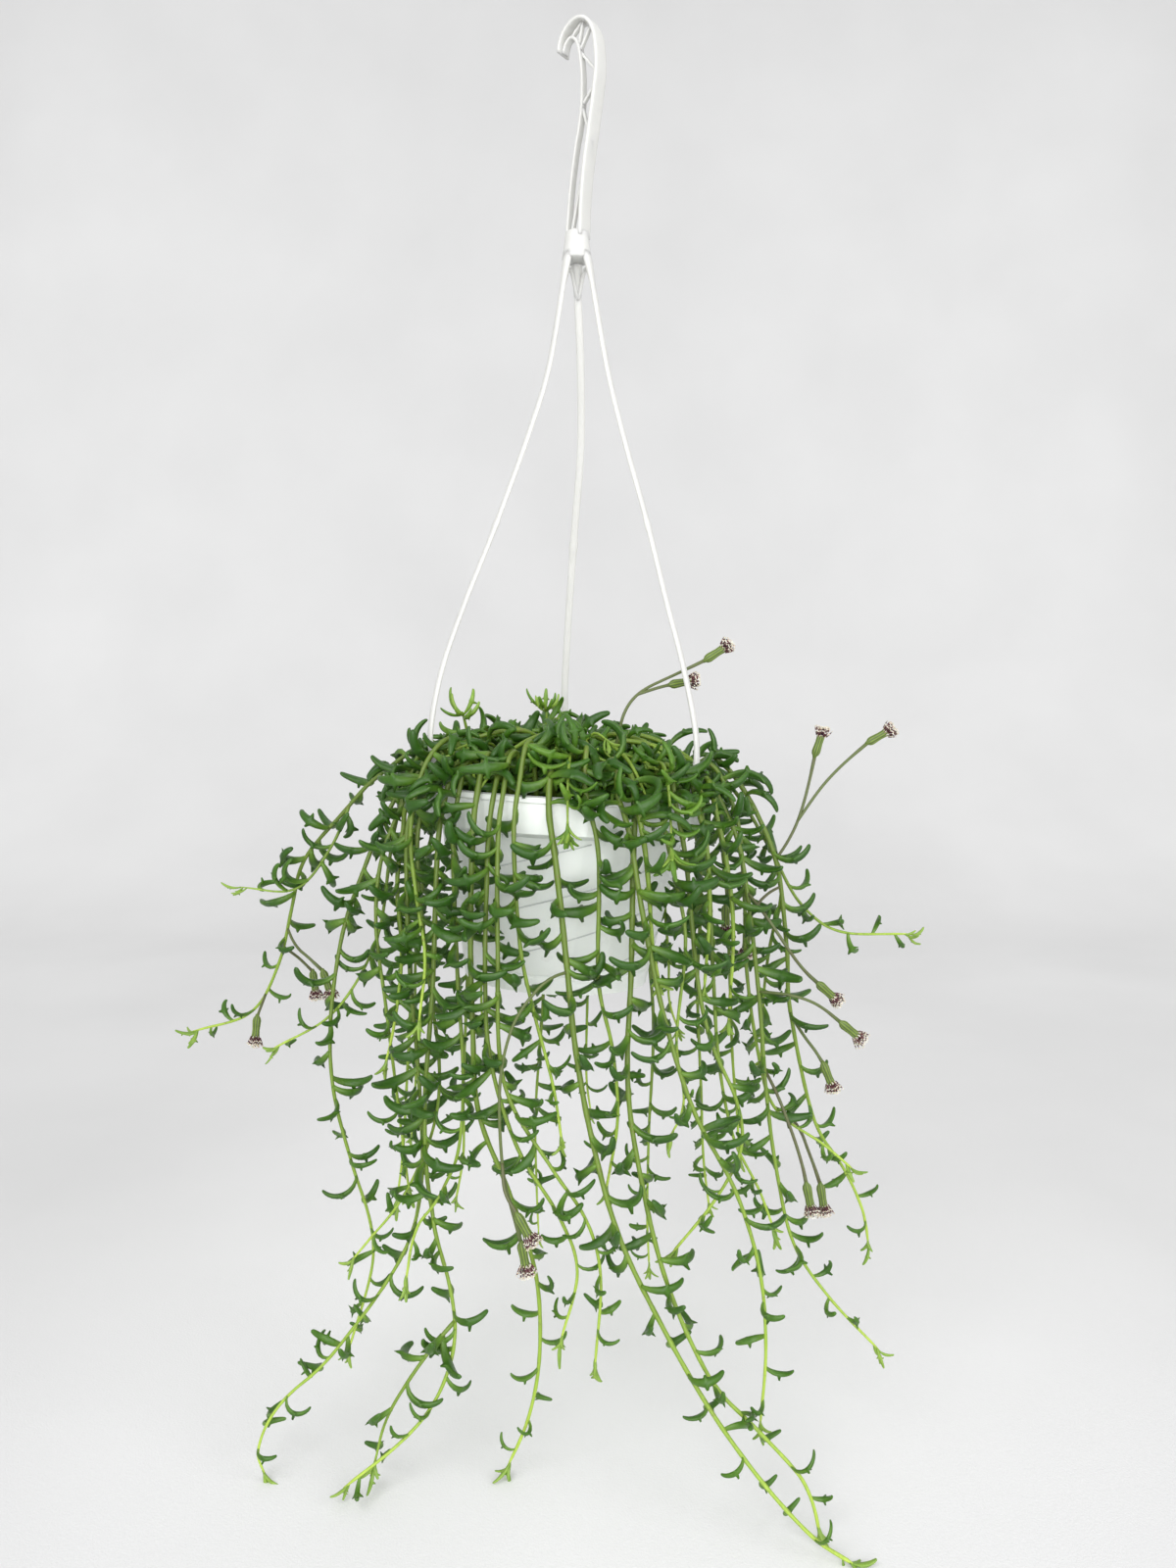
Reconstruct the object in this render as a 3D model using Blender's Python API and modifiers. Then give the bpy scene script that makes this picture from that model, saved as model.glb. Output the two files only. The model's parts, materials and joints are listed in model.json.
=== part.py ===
"""A potted string of dolphins: a trailing succulent in a white pot that hangs by its hanger's hook.

The origin is the seat inside the hook, +Z is up, and the front of the plant looks along -Y.
Sizes and places below are in millimetres. Places on the pot and on the plant are counted from
the middle of the pot's rim, and those on the hanger's head from the hook's seat.
"""

import math
import random

import bmesh
import bpy
import numpy as np
from mathutils import Matrix, Vector

MM = 0.001
GAP = 0.3
CUT_PAST = 4.0

# The pot hangs a little askew under its hook, with its right side low.
RIM_BELOW_SEAT = 437.0
RIM_ASIDE = -4.6
RIM_FORWARD = -3.4
POT_TILT = math.radians(3.0)
FLOOR = -359.0

# Pot
POT_HEIGHT = 112.0
RIM_RADIUS = 86.0
COLLAR_FOOT = -20.6
BODY_TOP = -24.0
BASE_RADIUS = 54.5
WALL = 1.8
POT_SIDES = 36
DRAIN_HOLES = 6
DRAIN_RADIUS = 4.0
DRAIN_CIRCLE = 36.0

# Soil
SOIL_TOP = -14.0
SOIL_SIDES = 24
HOLE_SIDES = 4
HOLE_FLOOR = -26.0

# Hanger
HOOK_PLANE_TURN = math.radians(-35.0)
HEAD_STEP = 2.0
HEAD_SLACK = 0.3
STRAP = 2.2
STRAP_WIDTH = 11.0
RIB = 1.8
RIB_WIDTH = 5.0
BAR_WIDTH = 2.6
WEB = 1.4
WEB_REACH = 6.0
BLOCK_TOP = -111.0
BLOCK_BOTTOM = -126.5
BLOCK_MIDDLE = (2.4, -1.9)
BLOCK_RADIUS = 8.8
LEG_RADIUS = 1.5
LEG_SLACK = 0.8
NUB_RADIUS = 2.4
NUB_HEIGHT = 152.0
FOOT_WIDTH = 9.0
FOOT_OUT = RIM_RADIUS + 3.4
FOOT_IN = RIM_RADIUS - 8.0
FOOT_BOTTOM = -8.0
FOOT_TOP = 7.0
SLOT_OUT = RIM_RADIUS + 0.5
SLOT_IN = RIM_RADIUS - 5.6
SLOT_TOP = 0.5
LEG_AZIMUTHS = {"left": -60.0, "right": 60.0, "rear": 180.0}
LEG_ROUTES = {
    "left": (
        (2, -2, 314), (0, -4, 302), (-9, -9, 247), (-20, -16, 208), (-40, -26, 150),
        (-56, -33, 108), (-69, -38, 69), (-75, -42, 34),
    ),
    "right": (
        (12, -2, 314), (15, -4, 302), (25, -9, 244), (35, -16, 201), (47, -25, 155),
        (58, -33, 108), (67, -38, 72), (74, -42, 34),
    ),
    "rear": (
        (7, 7, 314), (7, 9, 302), (9, 21, 256), (9, 38, 210), (5, 55, 163),
        (1, 70, 111), (-2, 81, 60), (-1, 85, 32),
    ),
}

# Leaves
LEAF_LENGTH = 31.0
LEAF_HALF_WIDTH = 2.6
LEAF_INNER = 1.5
LEAF_KEEL = 2.6
FIN_REACH = 6.3
LEAF_STATIONS = ((0.3, 0.95, False), (0.53, 1.0, True), (0.68, 0.9, False))
LEAFLET_STATIONS = ((0.45, 0.8, False),)
LEAFLET_SIZE = 0.5
BLADE_STEPS = 24
GOLDEN_TURN = math.radians(137.5)
LEAF_SPACING = 15.2
LEAVES_PER_SOLID_LEAF = 3
# Balls that stand for a leaf when it is kept clear of others: how big those along it are, and the
# step along the leaf and share of the reach at which each fin's are.
LEAF_BALL = 2.9
FIN_BALLS = ((10, 0.5), (13, 0.82), (15, 0.5))

# Flower heads
STALK_RADIUS = 0.9
CUP_LENGTH = 12.0
CUP_STATIONS = ((-1.0, 0.8), (2.5, 2.8), (8.0, 2.3), (CUP_LENGTH, 2.5))
TUFT_STATIONS = ((0.0, 2.3), (6.0, 4.5))
TUFT_NOTCH = 0.72
HEAD_LENGTH = CUP_LENGTH + GAP + TUFT_STATIONS[-1][0]
HEAD_RADIUS = 4.6
CUP_SIDES = 6
TUFT_POINTS = 6

# Routes: a name, the height of the arch over the rim, the stem's radius, and the places it goes
# through from just outside the rim to its tip.
STEMS = (
    ("stem_left_01", 24, 1.48, (
        (-118, 12, 4), (-133, 13, -12), (-160, 14, -44), (-169, 16, -76), (-178, 18, -110),
        (-196, 20, -140), (-234, 24, -153))),
    ("stem_left_02", 16, 1.40, (
        (-104, -18, -14), (-116, -26, -45), (-128, -30, -82), (-134, -36, -130), (-132, -40, -170),
        (-122, -42, -210), (-111, -44, -245), (-110, -46, -272), (-123, -50, -318))),
    ("stem_left_03", 20, 1.25, (
        (-95, -24, -8), (-101, -24, -36), (-109, -27, -86), (-133, -31, -127), (-168, -34, -148))),
    ("stem_left_04", 14, 1.40, (
        (-94, -39, -12), (-103, -46, -40), (-105, -50, -75), (-100, -52, -115), (-94, -53, -165),
        (-87, -55, -222))),
    ("stem_left_05", 22, 1.40, (
        (-84, -55, -10), (-86, -61, -30), (-84, -67, -90), (-78, -73, -160), (-77, -77, -212),
        (-88, -82, -250), (-123, -92, -297), (-149, -98, -320), (-160, -102, -342),
        (-155, -105, -356))),
    ("stem_left_06", 12, 1.33, (
        (-80, -53, -16), (-80, -57, -48), (-74, -62, -101), (-68, -66, -150), (-72, -69, -185),
        (-88, -72, -220), (-104, -74, -240), (-116, -76, -254))),
    ("stem_front_01", 28, 1.56, (
        (-76, -64, 14), (-82, -72, -18), (-78, -78, -55), (-73, -84, -85), (-76, -87, -119))),
    ("stem_front_02", 14, 1.56, (
        (-66, -68, -12), (-68, -73, -40), (-70, -76, -100), (-74, -82, -170), (-70, -87, -222),
        (-59, -94, -262), (-57, -100, -288), (-66, -107, -313), (-83, -114, -331),
        (-111, -122, -350))),
    ("stem_front_03", 18, 1.40, (
        (-58, -75, -12), (-58, -80, -40), (-56, -82, -95), (-53, -84, -150), (-56, -86, -190),
        (-66, -88, -212), (-78, -91, -230), (-83, -94, -256))),
    ("stem_front_04", 20, 1.72, (
        (-46, -82, -4), (-47, -89, -22), (-48, -92, -70), (-47, -93, -117), (-44, -94, -165),
        (-28, -96, -207), (-14, -98, -250), (-12, -100, -293), (-18, -102, -326),
        (-29, -104, -351))),
    ("stem_front_05", 12, 1.48, (
        (-38, -88, -12), (-39, -95, -40), (-40, -97, -95), (-37, -99, -137), (-23, -103, -181),
        (-2, -106, -215), (8, -108, -244), (-1, -110, -281))),
    ("stem_front_06", 24, 1.40, (
        (-31, -88, 2), (-33, -97, -20), (-33, -102, -75), (-30, -105, -145), (-6, -109, -188),
        (12, -112, -214), (20, -114, -244), (17, -116, -290))),
    ("stem_front_07", 30, 1.48, (
        (-22, -90, 10), (-25, -95, -18), (-22, -97, -74), (-15, -99, -109), (-5, -101, -147),
        (0, -103, -178))),
    ("stem_front_08", 14, 1.79, (
        (-7, -90, -6), (-3, -96, -35), (3, -101, -90), (7, -104, -128), (15, -108, -172),
        (29, -116, -221), (52, -126, -266), (76, -138, -303), (100, -150, -331),
        (122, -160, -350), (138, -168, -356))),
    ("stem_front_09", 26, 1.48, (
        (12, -88, 4), (19, -92, -30), (19, -95, -95), (26, -97, -129), (29, -98, -167),
        (23, -99, -204))),
    ("stem_front_10", 22, 1.56, (
        (29, -88, 2), (35, -96, -18), (42, -102, -61), (53, -105, -113), (68, -109, -160),
        (89, -113, -200), (101, -117, -240), (104, -119, -280), (101, -121, -319))),
    ("stem_front_11", 16, 1.72, (
        (38, -84, -8), (37, -91, -40), (36, -96, -90), (34, -101, -143), (39, -106, -186),
        (53, -115, -244), (75, -127, -290), (99, -135, -313), (120, -143, -334),
        (126, -149, -354))),
    ("stem_front_12", 12, 1.25, (
        (53, -77, -12), (60, -83, -45), (65, -87, -76), (60, -92, -128), (64, -94, -160),
        (56, -96, -178))),
    ("stem_front_13", 21, 1.48, (
        (61, -70, -6), (66, -77, -35), (72, -81, -98), (80, -84, -133), (92, -86, -160),
        (95, -88, -186), (81, -91, -213), (58, -95, -240))),
    ("stem_right_01", 12, 1.40, (
        (77, -54, -14), (80, -59, -45), (82, -64, -95), (85, -68, -145), (93, -71, -187),
        (106, -74, -213), (115, -76, -237))),
    ("stem_right_02", 14, 1.48, (
        (90, -36, -8), (100, -41, -35), (109, -46, -105), (114, -50, -169), (119, -55, -210),
        (128, -61, -250), (147, -67, -278), (173, -74, -304))),
    ("stem_right_03", 22, 1.40, (
        (93, -26, 2), (100, -30, -20), (103, -34, -60), (104, -37, -100), (110, -39, -145),
        (120, -41, -180), (147, -43, -200), (164, -45, -214))),
    ("stem_right_04", 24, 1.64, (
        (98, -12, 10), (112, -12, -12), (125, -13, -45), (131, -14, -95), (133, -15, -130),
        (147, -17, -194), (165, -19, -224), (176, -21, -249), (179, -23, -269))),
    ("stem_right_05", 16, 1.33, (
        (99, 6, 2), (112, 8, -16), (127, 9, -42), (142, 9, -69), (166, 8, -87), (209, 4, -88))),
)

# Side shoots: the stem each grows from, its radius, and its route from that stem.
BRANCHES = (
    ("stem_left_01", 1.01, ((-131, 13, -10), (-143, 3, -38), (-162, -3, -60), (-194, -6, -58))),
    ("stem_front_02", 1.17, ((-58, -97, -277), (-72, -104, -292), (-90, -110, -319), (-97, -115, -344))),
    ("stem_right_04", 1.17, ((130, -14, -62), (125, -6, -80), (120, -2, -115), (118, 0, -164))),
)

# Flower stalks: what each grows from, and its route. The last place is the tip of its head.
STALKS = (
    ("crown", ((18, -26, 2), (28, -40, 22), (33, -46, 43), (42, -40, 56), (61, -33, 66), (80, -31, 75),
               (94, -30, 84))),
    ("crown", ((42, -40, 56), (52, -37, 59), (64, -31, 62), (75, -26, 64))),
    ("stem_right_04", ((124, -13, -43), (131, -8, -32), (139, -3, -18), (146, 0, 5), (149, 0, 20),
                       (154, 0, 36))),
    ("stem_right_04", ((139, -3, -18), (149, -2, -4), (160, 0, 9), (181, 0, 28), (195, 0, 36))),
    ("stem_right_03", ((102, -33, -45), (96, -23, -52), (94, -20, -65), (94, -19, -84))),
    ("stem_right_04", ((127, -13, -55), (114, -22, -64), (107, -24, -76), (105, -24, -96))),
    ("stem_right_02", ((103, -42, -55), (114, -52, -70), (132, -50, -96), (144, -46, -108),
                       (155, -43, -118))),
    ("stem_right_02", ((110, -47, -112), (128, -56, -112), (146, -55, -120), (155, -53, -128),
                       (167, -50, -138))),
    ("stem_right_04", ((133, -15, -135), (142, -26, -146), (150, -29, -158), (156, -30, -173))),
    ("stem_right_03", ((112, -40, -155), (121, -52, -172), (131, -58, -200), (135, -60, -217),
                       (138, -62, -233))),
    ("stem_right_03", ((119, -41, -180), (133, -35, -190), (143, -38, -214), (147, -40, -226),
                       (149, -42, -241))),
    ("stem_front_08", ((3, -101, -90), (-7, -108, -92), (-23, -112, -111), (-31, -114, -142),
                       (-30, -115, -186), (-24, -113, -214), (-21, -112, -226), (-18, -111, -243))),
    ("stem_front_08", ((-30, -115, -186), (-28, -121, -198), (-21, -124, -209), (-14, -124, -222))),
    ("stem_left_01", ((-172, 17, -88), (-163, 8, -98), (-153, 2, -104), (-145, 0, -112), (-141, 0, -126))),
    ("stem_left_01", ((-175, 18, -100), (-168, 24, -106), (-161, 28, -112), (-158, 29, -122),
                      (-157, 29, -133))),
    ("stem_left_01", ((-188, 19, -128), (-188, 11, -134), (-189, 8, -142), (-190, 7, -156))),
)

# Stems of the back and sides, which no picture shows: evenly turned, of seeded lengths.
BACK_AZIMUTHS = (104, 121, 138, 154, 171, 189, 206, 222, 239, 256)
BACK_SEED = 41

# Crown
CORE_RADIUS = 50.0
CORE_HEIGHT = 34.0
# Balls that fill the crown's dome: the circle they stand on, their height and their radius
CORE_BALLS = ((0, -2, 20.0), (14, -2, 19.0), (26, -4, 15.5), (36, -5, 12.0), (43, -9, 8.5))
# Balls that fill a clip foot: their circles, their turns from the leg in degrees, heights and radius
FOOT_BALL_CIRCLES = (80.5, 87.5)
FOOT_BALL_TURNS = (-3, 3)
FOOT_BALL_HEIGHTS = (-5.0, 0.0, 5.0)
FOOT_BALL = 4.6
CROWN_ROOTS = 4
CROWN_ROOT_CIRCLE = 28.0
CROWN_SHOOTS = 10
CROWN_LEAVES = 32
CROWN_SEED = 7

ROOT_RADIUS = 2.6
ROOT_CIRCLES = (65.5, 57.0)

# How shoots are laid out: a shoot runs straight between its bones, and shoots keep a gap.
SAMPLE = 4.0
SETTLE_ROUNDS = 60
SETTLE_GAP = 3.0
POT_GAP = 1.9
BONE_SLACK = 1.4
CLEARANCE = 0.7


def to_world(place):
    """Metres from the hook's seat, of a place in millimetres from the middle of the rim."""
    return Vector((place[0] + RIM_ASIDE, place[1] + RIM_FORWARD, place[2] - RIM_BELOW_SEAT)) * MM


def pot_frame():
    return Matrix.Translation(to_world((0, 0, 0))) @ Matrix.Rotation(POT_TILT, 4, "Y")


def on_pot(radius, azimuth, height):
    """A place on the tilted pot, in millimetres from the middle of the rim."""
    angle = math.radians(azimuth)
    place = Vector((radius * math.sin(angle), -radius * math.cos(angle), height))
    return Matrix.Rotation(POT_TILT, 3, "Y") @ place


def material(name, colour, roughness, metallic=0.0):
    made = bpy.data.materials.new(name)
    made.use_nodes = True
    shader = made.node_tree.nodes["Principled BSDF"]
    shader.inputs["Base Color"].default_value = (*colour, 1.0)
    shader.inputs["Roughness"].default_value = roughness
    shader.inputs["Metallic"].default_value = metallic
    return made


def add_object(name, mesh, collection, surface=None):
    made = bpy.data.objects.new(name, mesh)
    collection.objects.link(made)
    if surface is not None:
        mesh.materials.clear()
        mesh.materials.append(surface)
    return made


def mesh_from(shape, name):
    mesh = bpy.data.meshes.new(name)
    shape.to_mesh(mesh)
    shape.free()
    return mesh


def shade_round(mesh, sharp_degrees=40):
    mesh.shade_smooth()
    mesh.set_sharp_from_angle(angle=math.radians(sharp_degrees))


def evaluated_mesh(made, name):
    """A plain mesh of the object as its modifiers leave it, in world space."""
    graph = bpy.context.evaluated_depsgraph_get()
    graph.update()
    mesh = bpy.data.meshes.new_from_object(made.evaluated_get(graph))
    mesh.name = name
    mesh.transform(made.matrix_world)
    return mesh


def weld(mesh, distance=0.00001):
    shape = bmesh.new()
    shape.from_mesh(mesh)
    bmesh.ops.remove_doubles(shape, verts=shape.verts, dist=distance)
    bmesh.ops.recalc_face_normals(shape, faces=shape.faces)
    shape.to_mesh(mesh)
    shape.free()


def tube_object(name, places, radii, collection):
    """A round stem or wire through places in world metres, as a bevelled curve."""
    curve = bpy.data.curves.new(name, "CURVE")
    curve.dimensions = "3D"
    curve.bevel_depth = 1.0
    curve.bevel_resolution = 0
    curve.use_fill_caps = True
    spline = curve.splines.new("POLY")
    spline.points.add(len(places) - 1)
    for point, place, radius in zip(spline.points, places, radii):
        point.co = (*place, 1.0)
        point.radius = radius * MM
    return add_object(name, curve, collection)


def curve_to_mesh(made, name, collection):
    """Swaps a curve object for a mesh object with its caps welded, so that it can be joined."""
    bpy.context.view_layer.update()
    mesh = evaluated_mesh(made, name)
    weld(mesh)
    bpy.data.objects.remove(made)
    return add_object(name, mesh, collection)


def join(base, pieces, name):
    """One mesh object from a base and the pieces that grow from it or are moulded with it."""
    group = bpy.data.collections.new(name + "_pieces")
    bpy.context.scene.collection.children.link(group)
    for piece in pieces:
        for home in piece.users_collection:
            home.objects.unlink(piece)
        group.objects.link(piece)
    union = base.modifiers.new("join", "BOOLEAN")
    union.operation = "UNION"
    union.solver = "EXACT"
    union.operand_type = "COLLECTION"
    union.collection = group
    bpy.context.view_layer.update()
    mesh = evaluated_mesh(base, name)
    for piece in pieces:
        bpy.data.objects.remove(piece)
    bpy.data.objects.remove(base)
    bpy.data.collections.remove(group)
    return mesh


def cut(made, cutter, name):
    change = made.modifiers.new(name, "BOOLEAN")
    change.operation = "DIFFERENCE"
    change.solver = "EXACT"
    change.object = cutter


def hide_cutter(cutter):
    cutter.hide_render = True
    cutter.display_type = "WIRE"


def add_cylinder(shape, sides, radius, bottom, top, place):
    """A closed cylinder in a bmesh, standing on a place in millimetres."""
    bmesh.ops.create_cone(
        shape,
        cap_ends=True,
        segments=sides,
        radius1=radius * MM,
        radius2=radius * MM,
        depth=(top - bottom) * MM,
        matrix=Matrix.Translation(Vector((*place, (bottom + top) / 2)) * MM),
    )


def turned(name, profile, sides, collection, surface):
    """A solid turned about the pot's axis from a profile of (radius, height)."""
    shape = bmesh.new()
    corners = [shape.verts.new((radius * MM, 0, height * MM)) for radius, height in profile]
    for first, second in zip(corners, corners[1:]):
        shape.edges.new((first, second))
    made = add_object(name, mesh_from(shape, name), collection, surface)
    screw = made.modifiers.new("turn", "SCREW")
    screw.steps = sides
    screw.render_steps = sides
    screw.use_merge_vertices = True
    screw.merge_threshold = 0.00001
    made.matrix_world = pot_frame()
    return made


def pot_profile():
    """The pot's section: inside floor, inside wall, rim, outside wall and underside."""
    foot = -POT_HEIGHT
    return (
        (0, foot + WALL),
        (BASE_RADIUS - WALL, foot + WALL),
        (RIM_RADIUS - 15.6, BODY_TOP),
        (RIM_RADIUS - 6.6, -19.0),
        (RIM_RADIUS - 3.4, -1.0),
        (RIM_RADIUS - 2.4, 0.0),
        (RIM_RADIUS, -0.8),
        (RIM_RADIUS - 0.1, -3.4),
        (RIM_RADIUS - 1.4, -4.4),
        (RIM_RADIUS - 4.6, COLLAR_FOOT),
        (RIM_RADIUS - 13.4, BODY_TOP + 0.6),
        (BASE_RADIUS + 1.8, -101.0),
        (BASE_RADIUS + 0.6, -102.0),
        (BASE_RADIUS + 1.4, -103.4),
        (BASE_RADIUS, foot),
        (0, foot),
    )


def soil_profile():
    """The soil fills the pot, a little clear of its wall and floor."""
    clear = GAP + 0.4
    inner = pot_profile()
    below = inner[1][1] + GAP
    neck_radius, neck = inner[2]
    ledge_radius, ledge = inner[3]
    share = (SOIL_TOP - ledge) / (inner[4][1] - ledge)
    top_radius = ledge_radius + share * (inner[4][0] - ledge_radius)
    return (
        (0, SOIL_TOP),
        (top_radius - clear, SOIL_TOP),
        (ledge_radius - clear, ledge + 0.4),
        (neck_radius - clear, neck + 0.4),
        (inner[1][0] - clear, below),
        (0, below),
    )


def make_pot(collection, cutters, surface):
    pot = turned("pot", pot_profile(), POT_SIDES, collection, surface)
    shape = bmesh.new()
    for number in range(DRAIN_HOLES):
        angle = math.tau * number / DRAIN_HOLES
        place = (DRAIN_CIRCLE * math.cos(angle), DRAIN_CIRCLE * math.sin(angle))
        add_cylinder(shape, 8, DRAIN_RADIUS, -POT_HEIGHT - CUT_PAST, -POT_HEIGHT + WALL + CUT_PAST, place)
    cutter = add_object("drain_cutter", mesh_from(shape, "drain_cutter"), cutters)
    cutter.matrix_world = pot_frame()
    hide_cutter(cutter)
    cut(pot, cutter, "drain")


def make_soil(collection, cutters, surface, roots):
    """roots holds (place, radius) of each stem where it stands in the soil, on the pot's axes."""
    soil = turned("soil", soil_profile(), SOIL_SIDES, collection, surface)
    shape = bmesh.new()
    for place, radius in roots:
        hole = (radius + GAP) / math.cos(math.pi / HOLE_SIDES)
        add_cylinder(shape, HOLE_SIDES, hole, HOLE_FLOOR, SOIL_TOP + CUT_PAST, place)
    cutter = add_object("root_cutter", mesh_from(shape, "root_cutter"), cutters)
    cutter.matrix_world = pot_frame()
    hide_cutter(cutter)
    cut(soil, cutter, "root_holes")


def hook_matrix():
    """The hook's plane: its own X runs to the open side, its own Y up, and its Z across."""
    stand = Matrix.Rotation(math.radians(90), 4, "X")
    face = Matrix.Rotation(math.pi + HOOK_PLANE_TURN, 4, "Z")
    return face @ stand


def outline_solid(name, line, thickness, width, collection):
    """A strip of even thickness along a line in the hook's plane, and of a width across it."""
    curve = bpy.data.curves.new(name, "CURVE")
    curve.dimensions = "2D"
    curve.fill_mode = "BOTH"
    curve.extrude = width / 2 * MM
    outline = band(line, thickness)
    spline = curve.splines.new("POLY")
    spline.points.add(len(outline) - 1)
    spline.use_cyclic_u = True
    for point, (across, up) in zip(spline.points, outline):
        point.co = (across * MM, up * MM, 0.0, 1.0)
    made = add_object(name, curve, collection)
    made.matrix_world = hook_matrix()
    return curve_to_mesh(made, name, collection)


def band(line, thickness):
    """The outline of a strip of even thickness along a line of places."""
    left = []
    right = []
    for number, place in enumerate(line):
        before = Vector(line[max(number - 1, 0)])
        after = Vector(line[min(number + 1, len(line) - 1)])
        along = (after - before).normalized()
        side = Vector((-along.y, along.x)) * thickness / 2
        left.append(tuple(Vector(place) + side))
        right.append(tuple(Vector(place) - side))
    return left + right[::-1]


def flat_line(places):
    """A smooth line through places in the hook's plane."""
    line = smooth_line([(across, up, 0.0) for across, up in places], HEAD_STEP)
    return [(place[0], place[1]) for place in thin_out(line, HEAD_SLACK)]


def outer_flange():
    """The middle line of the hook's back: from its tip, over the arch, and down to the block."""
    return flat_line([
        (7.0, -6.4), (6.6, -2.4), (4.4, 2.6), (0.0, 6.8), (-6.0, 8.9), (-11.6, 7.0), (-15.6, 2.2),
        (-18.4, -6.0), (-19.5, -20.0), (-18.4, -31.0), (-14.8, -53.0), (-11.0, -75.0),
        (-8.8, -96.0), (-8.0, -114.0),
    ])


def inner_flange():
    """The middle line of the hook's inside: round the seat, then down to the block."""
    return flat_line([
        (5.4, -6.4), (4.6, -2.6), (1.6, 0.6), (0.0, RIB / 2), (-2.0, 0.0), (-4.6, -3.6), (-6.4, -11.0),
        (-7.6, -22.0), (-7.5, -38.0), (-5.8, -51.0), (-2.9, -64.0), (0.6, -86.0), (3.4, -114.0),
    ])


def head_bars():
    """The slanting bars between the hook's two flanges, from its arch down, and the long middle one."""
    return (
        ((-7.4, 8.4), (0.4, 1.2)),
        ((-7.8, 8.4), (-4.8, -4.6)),
        ((-5.4, -8.0), (-18.8, -25.0)),
        ((-18.8, -27.0), (-7.5, -39.0)),
        ((-7.4, -40.5), (-13.6, -62.0)),
        ((-13.2, -62.0), (-6.0, -84.0), (1.0, -114.0)),
    )


def head_web():
    """The thin wall that fills the fork of the middle bar."""
    return [(-11.4, -66.0), (-9.4, -84.0)]


def clip_block(name, side, width, outer, inner, low, high, collection):
    """A box across the rim under one leg."""
    stand = pot_frame() @ Matrix.Rotation(math.radians(LEG_AZIMUTHS[side]), 4, "Z")
    middle = Matrix.Translation(Vector((0, -(outer + inner) / 2, (low + high) / 2)) * MM)
    size = Matrix.Diagonal((width * MM, (outer - inner) * MM, (high - low) * MM, 1.0))
    shape = bmesh.new()
    bmesh.ops.create_cube(shape, size=1.0, matrix=stand @ middle @ size)
    return add_object(name, mesh_from(shape, name), collection)


def foot_object(side, collection):
    """A clip that sits over the rim, with a slot for it."""
    name = "foot_" + side
    foot = clip_block(name, side, FOOT_WIDTH, FOOT_OUT, FOOT_IN, FOOT_BOTTOM, FOOT_TOP, collection)
    low = FOOT_BOTTOM - CUT_PAST
    slot = clip_block("slot_" + side, side, 2 * FOOT_WIDTH, SLOT_OUT, SLOT_IN, low, SLOT_TOP, collection)
    cut(foot, slot, "slot")
    bpy.context.view_layer.update()
    finished = evaluated_mesh(foot, name)
    bpy.data.objects.remove(foot)
    bpy.data.objects.remove(slot)
    return add_object(name, finished, collection)


def leg_places(side):
    """A leg's line from the block down into its foot, in millimetres from the rim's middle."""
    foot = on_pot(RIM_RADIUS - 1.2, LEG_AZIMUTHS[side], 3.0)
    shoulder = on_pot(RIM_RADIUS - 1.0, LEG_AZIMUTHS[side], 12.0)
    return smooth_line([*LEG_ROUTES[side], tuple(shoulder), tuple(foot)], SAMPLE)


def make_hanger(collection, surface):
    pieces = [
        outline_solid("back", outer_flange(), STRAP, STRAP_WIDTH, collection),
        outline_solid("inside", inner_flange(), RIB, RIB_WIDTH, collection),
        outline_solid("web", head_web(), WEB_REACH, WEB, collection),
        block_object(collection),
    ]
    for number, bar in enumerate(head_bars()):
        pieces.append(outline_solid(f"bar_{number}", bar, RIB, BAR_WIDTH, collection))
    for side in LEG_ROUTES:
        places = thin_out(leg_places(side), LEG_SLACK)
        world = [to_world(place) for place in places]
        leg = tube_object("leg_" + side, world, [LEG_RADIUS] * len(world), collection)
        leg.data.bevel_resolution = 1
        pieces.append(curve_to_mesh(leg, "leg_" + side, collection))
        pieces.append(foot_object(side, collection))
        pieces.append(nub_object(side, collection))
    mesh = join(pieces[0], pieces[1:], "hanger")
    shade_round(mesh, 35)
    add_object("hanger", mesh, collection, surface)


def block_object(collection):
    """The eight-sided block that the legs leave from."""
    shape = bmesh.new()
    middle = Vector((*BLOCK_MIDDLE, (BLOCK_TOP + BLOCK_BOTTOM) / 2)) * MM
    bmesh.ops.create_cone(
        shape,
        cap_ends=True,
        segments=8,
        radius1=BLOCK_RADIUS * MM,
        radius2=0.8 * BLOCK_RADIUS * MM,
        depth=(BLOCK_TOP - BLOCK_BOTTOM) * MM,
        matrix=Matrix.Translation(middle),
    )
    return add_object("block", mesh_from(shape, "block"), collection)


def nub_object(side, collection):
    """The small bead halfway along a leg."""
    places = leg_places(side)
    nearest = min(places, key=lambda place: abs(place[2] - NUB_HEIGHT))
    shape = bmesh.new()
    bmesh.ops.create_uvsphere(
        shape,
        u_segments=6,
        v_segments=4,
        radius=NUB_RADIUS * MM,
        matrix=Matrix.Translation(to_world(nearest)),
    )
    return add_object("nub_" + side, mesh_from(shape, "nub_" + side), collection)


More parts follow.
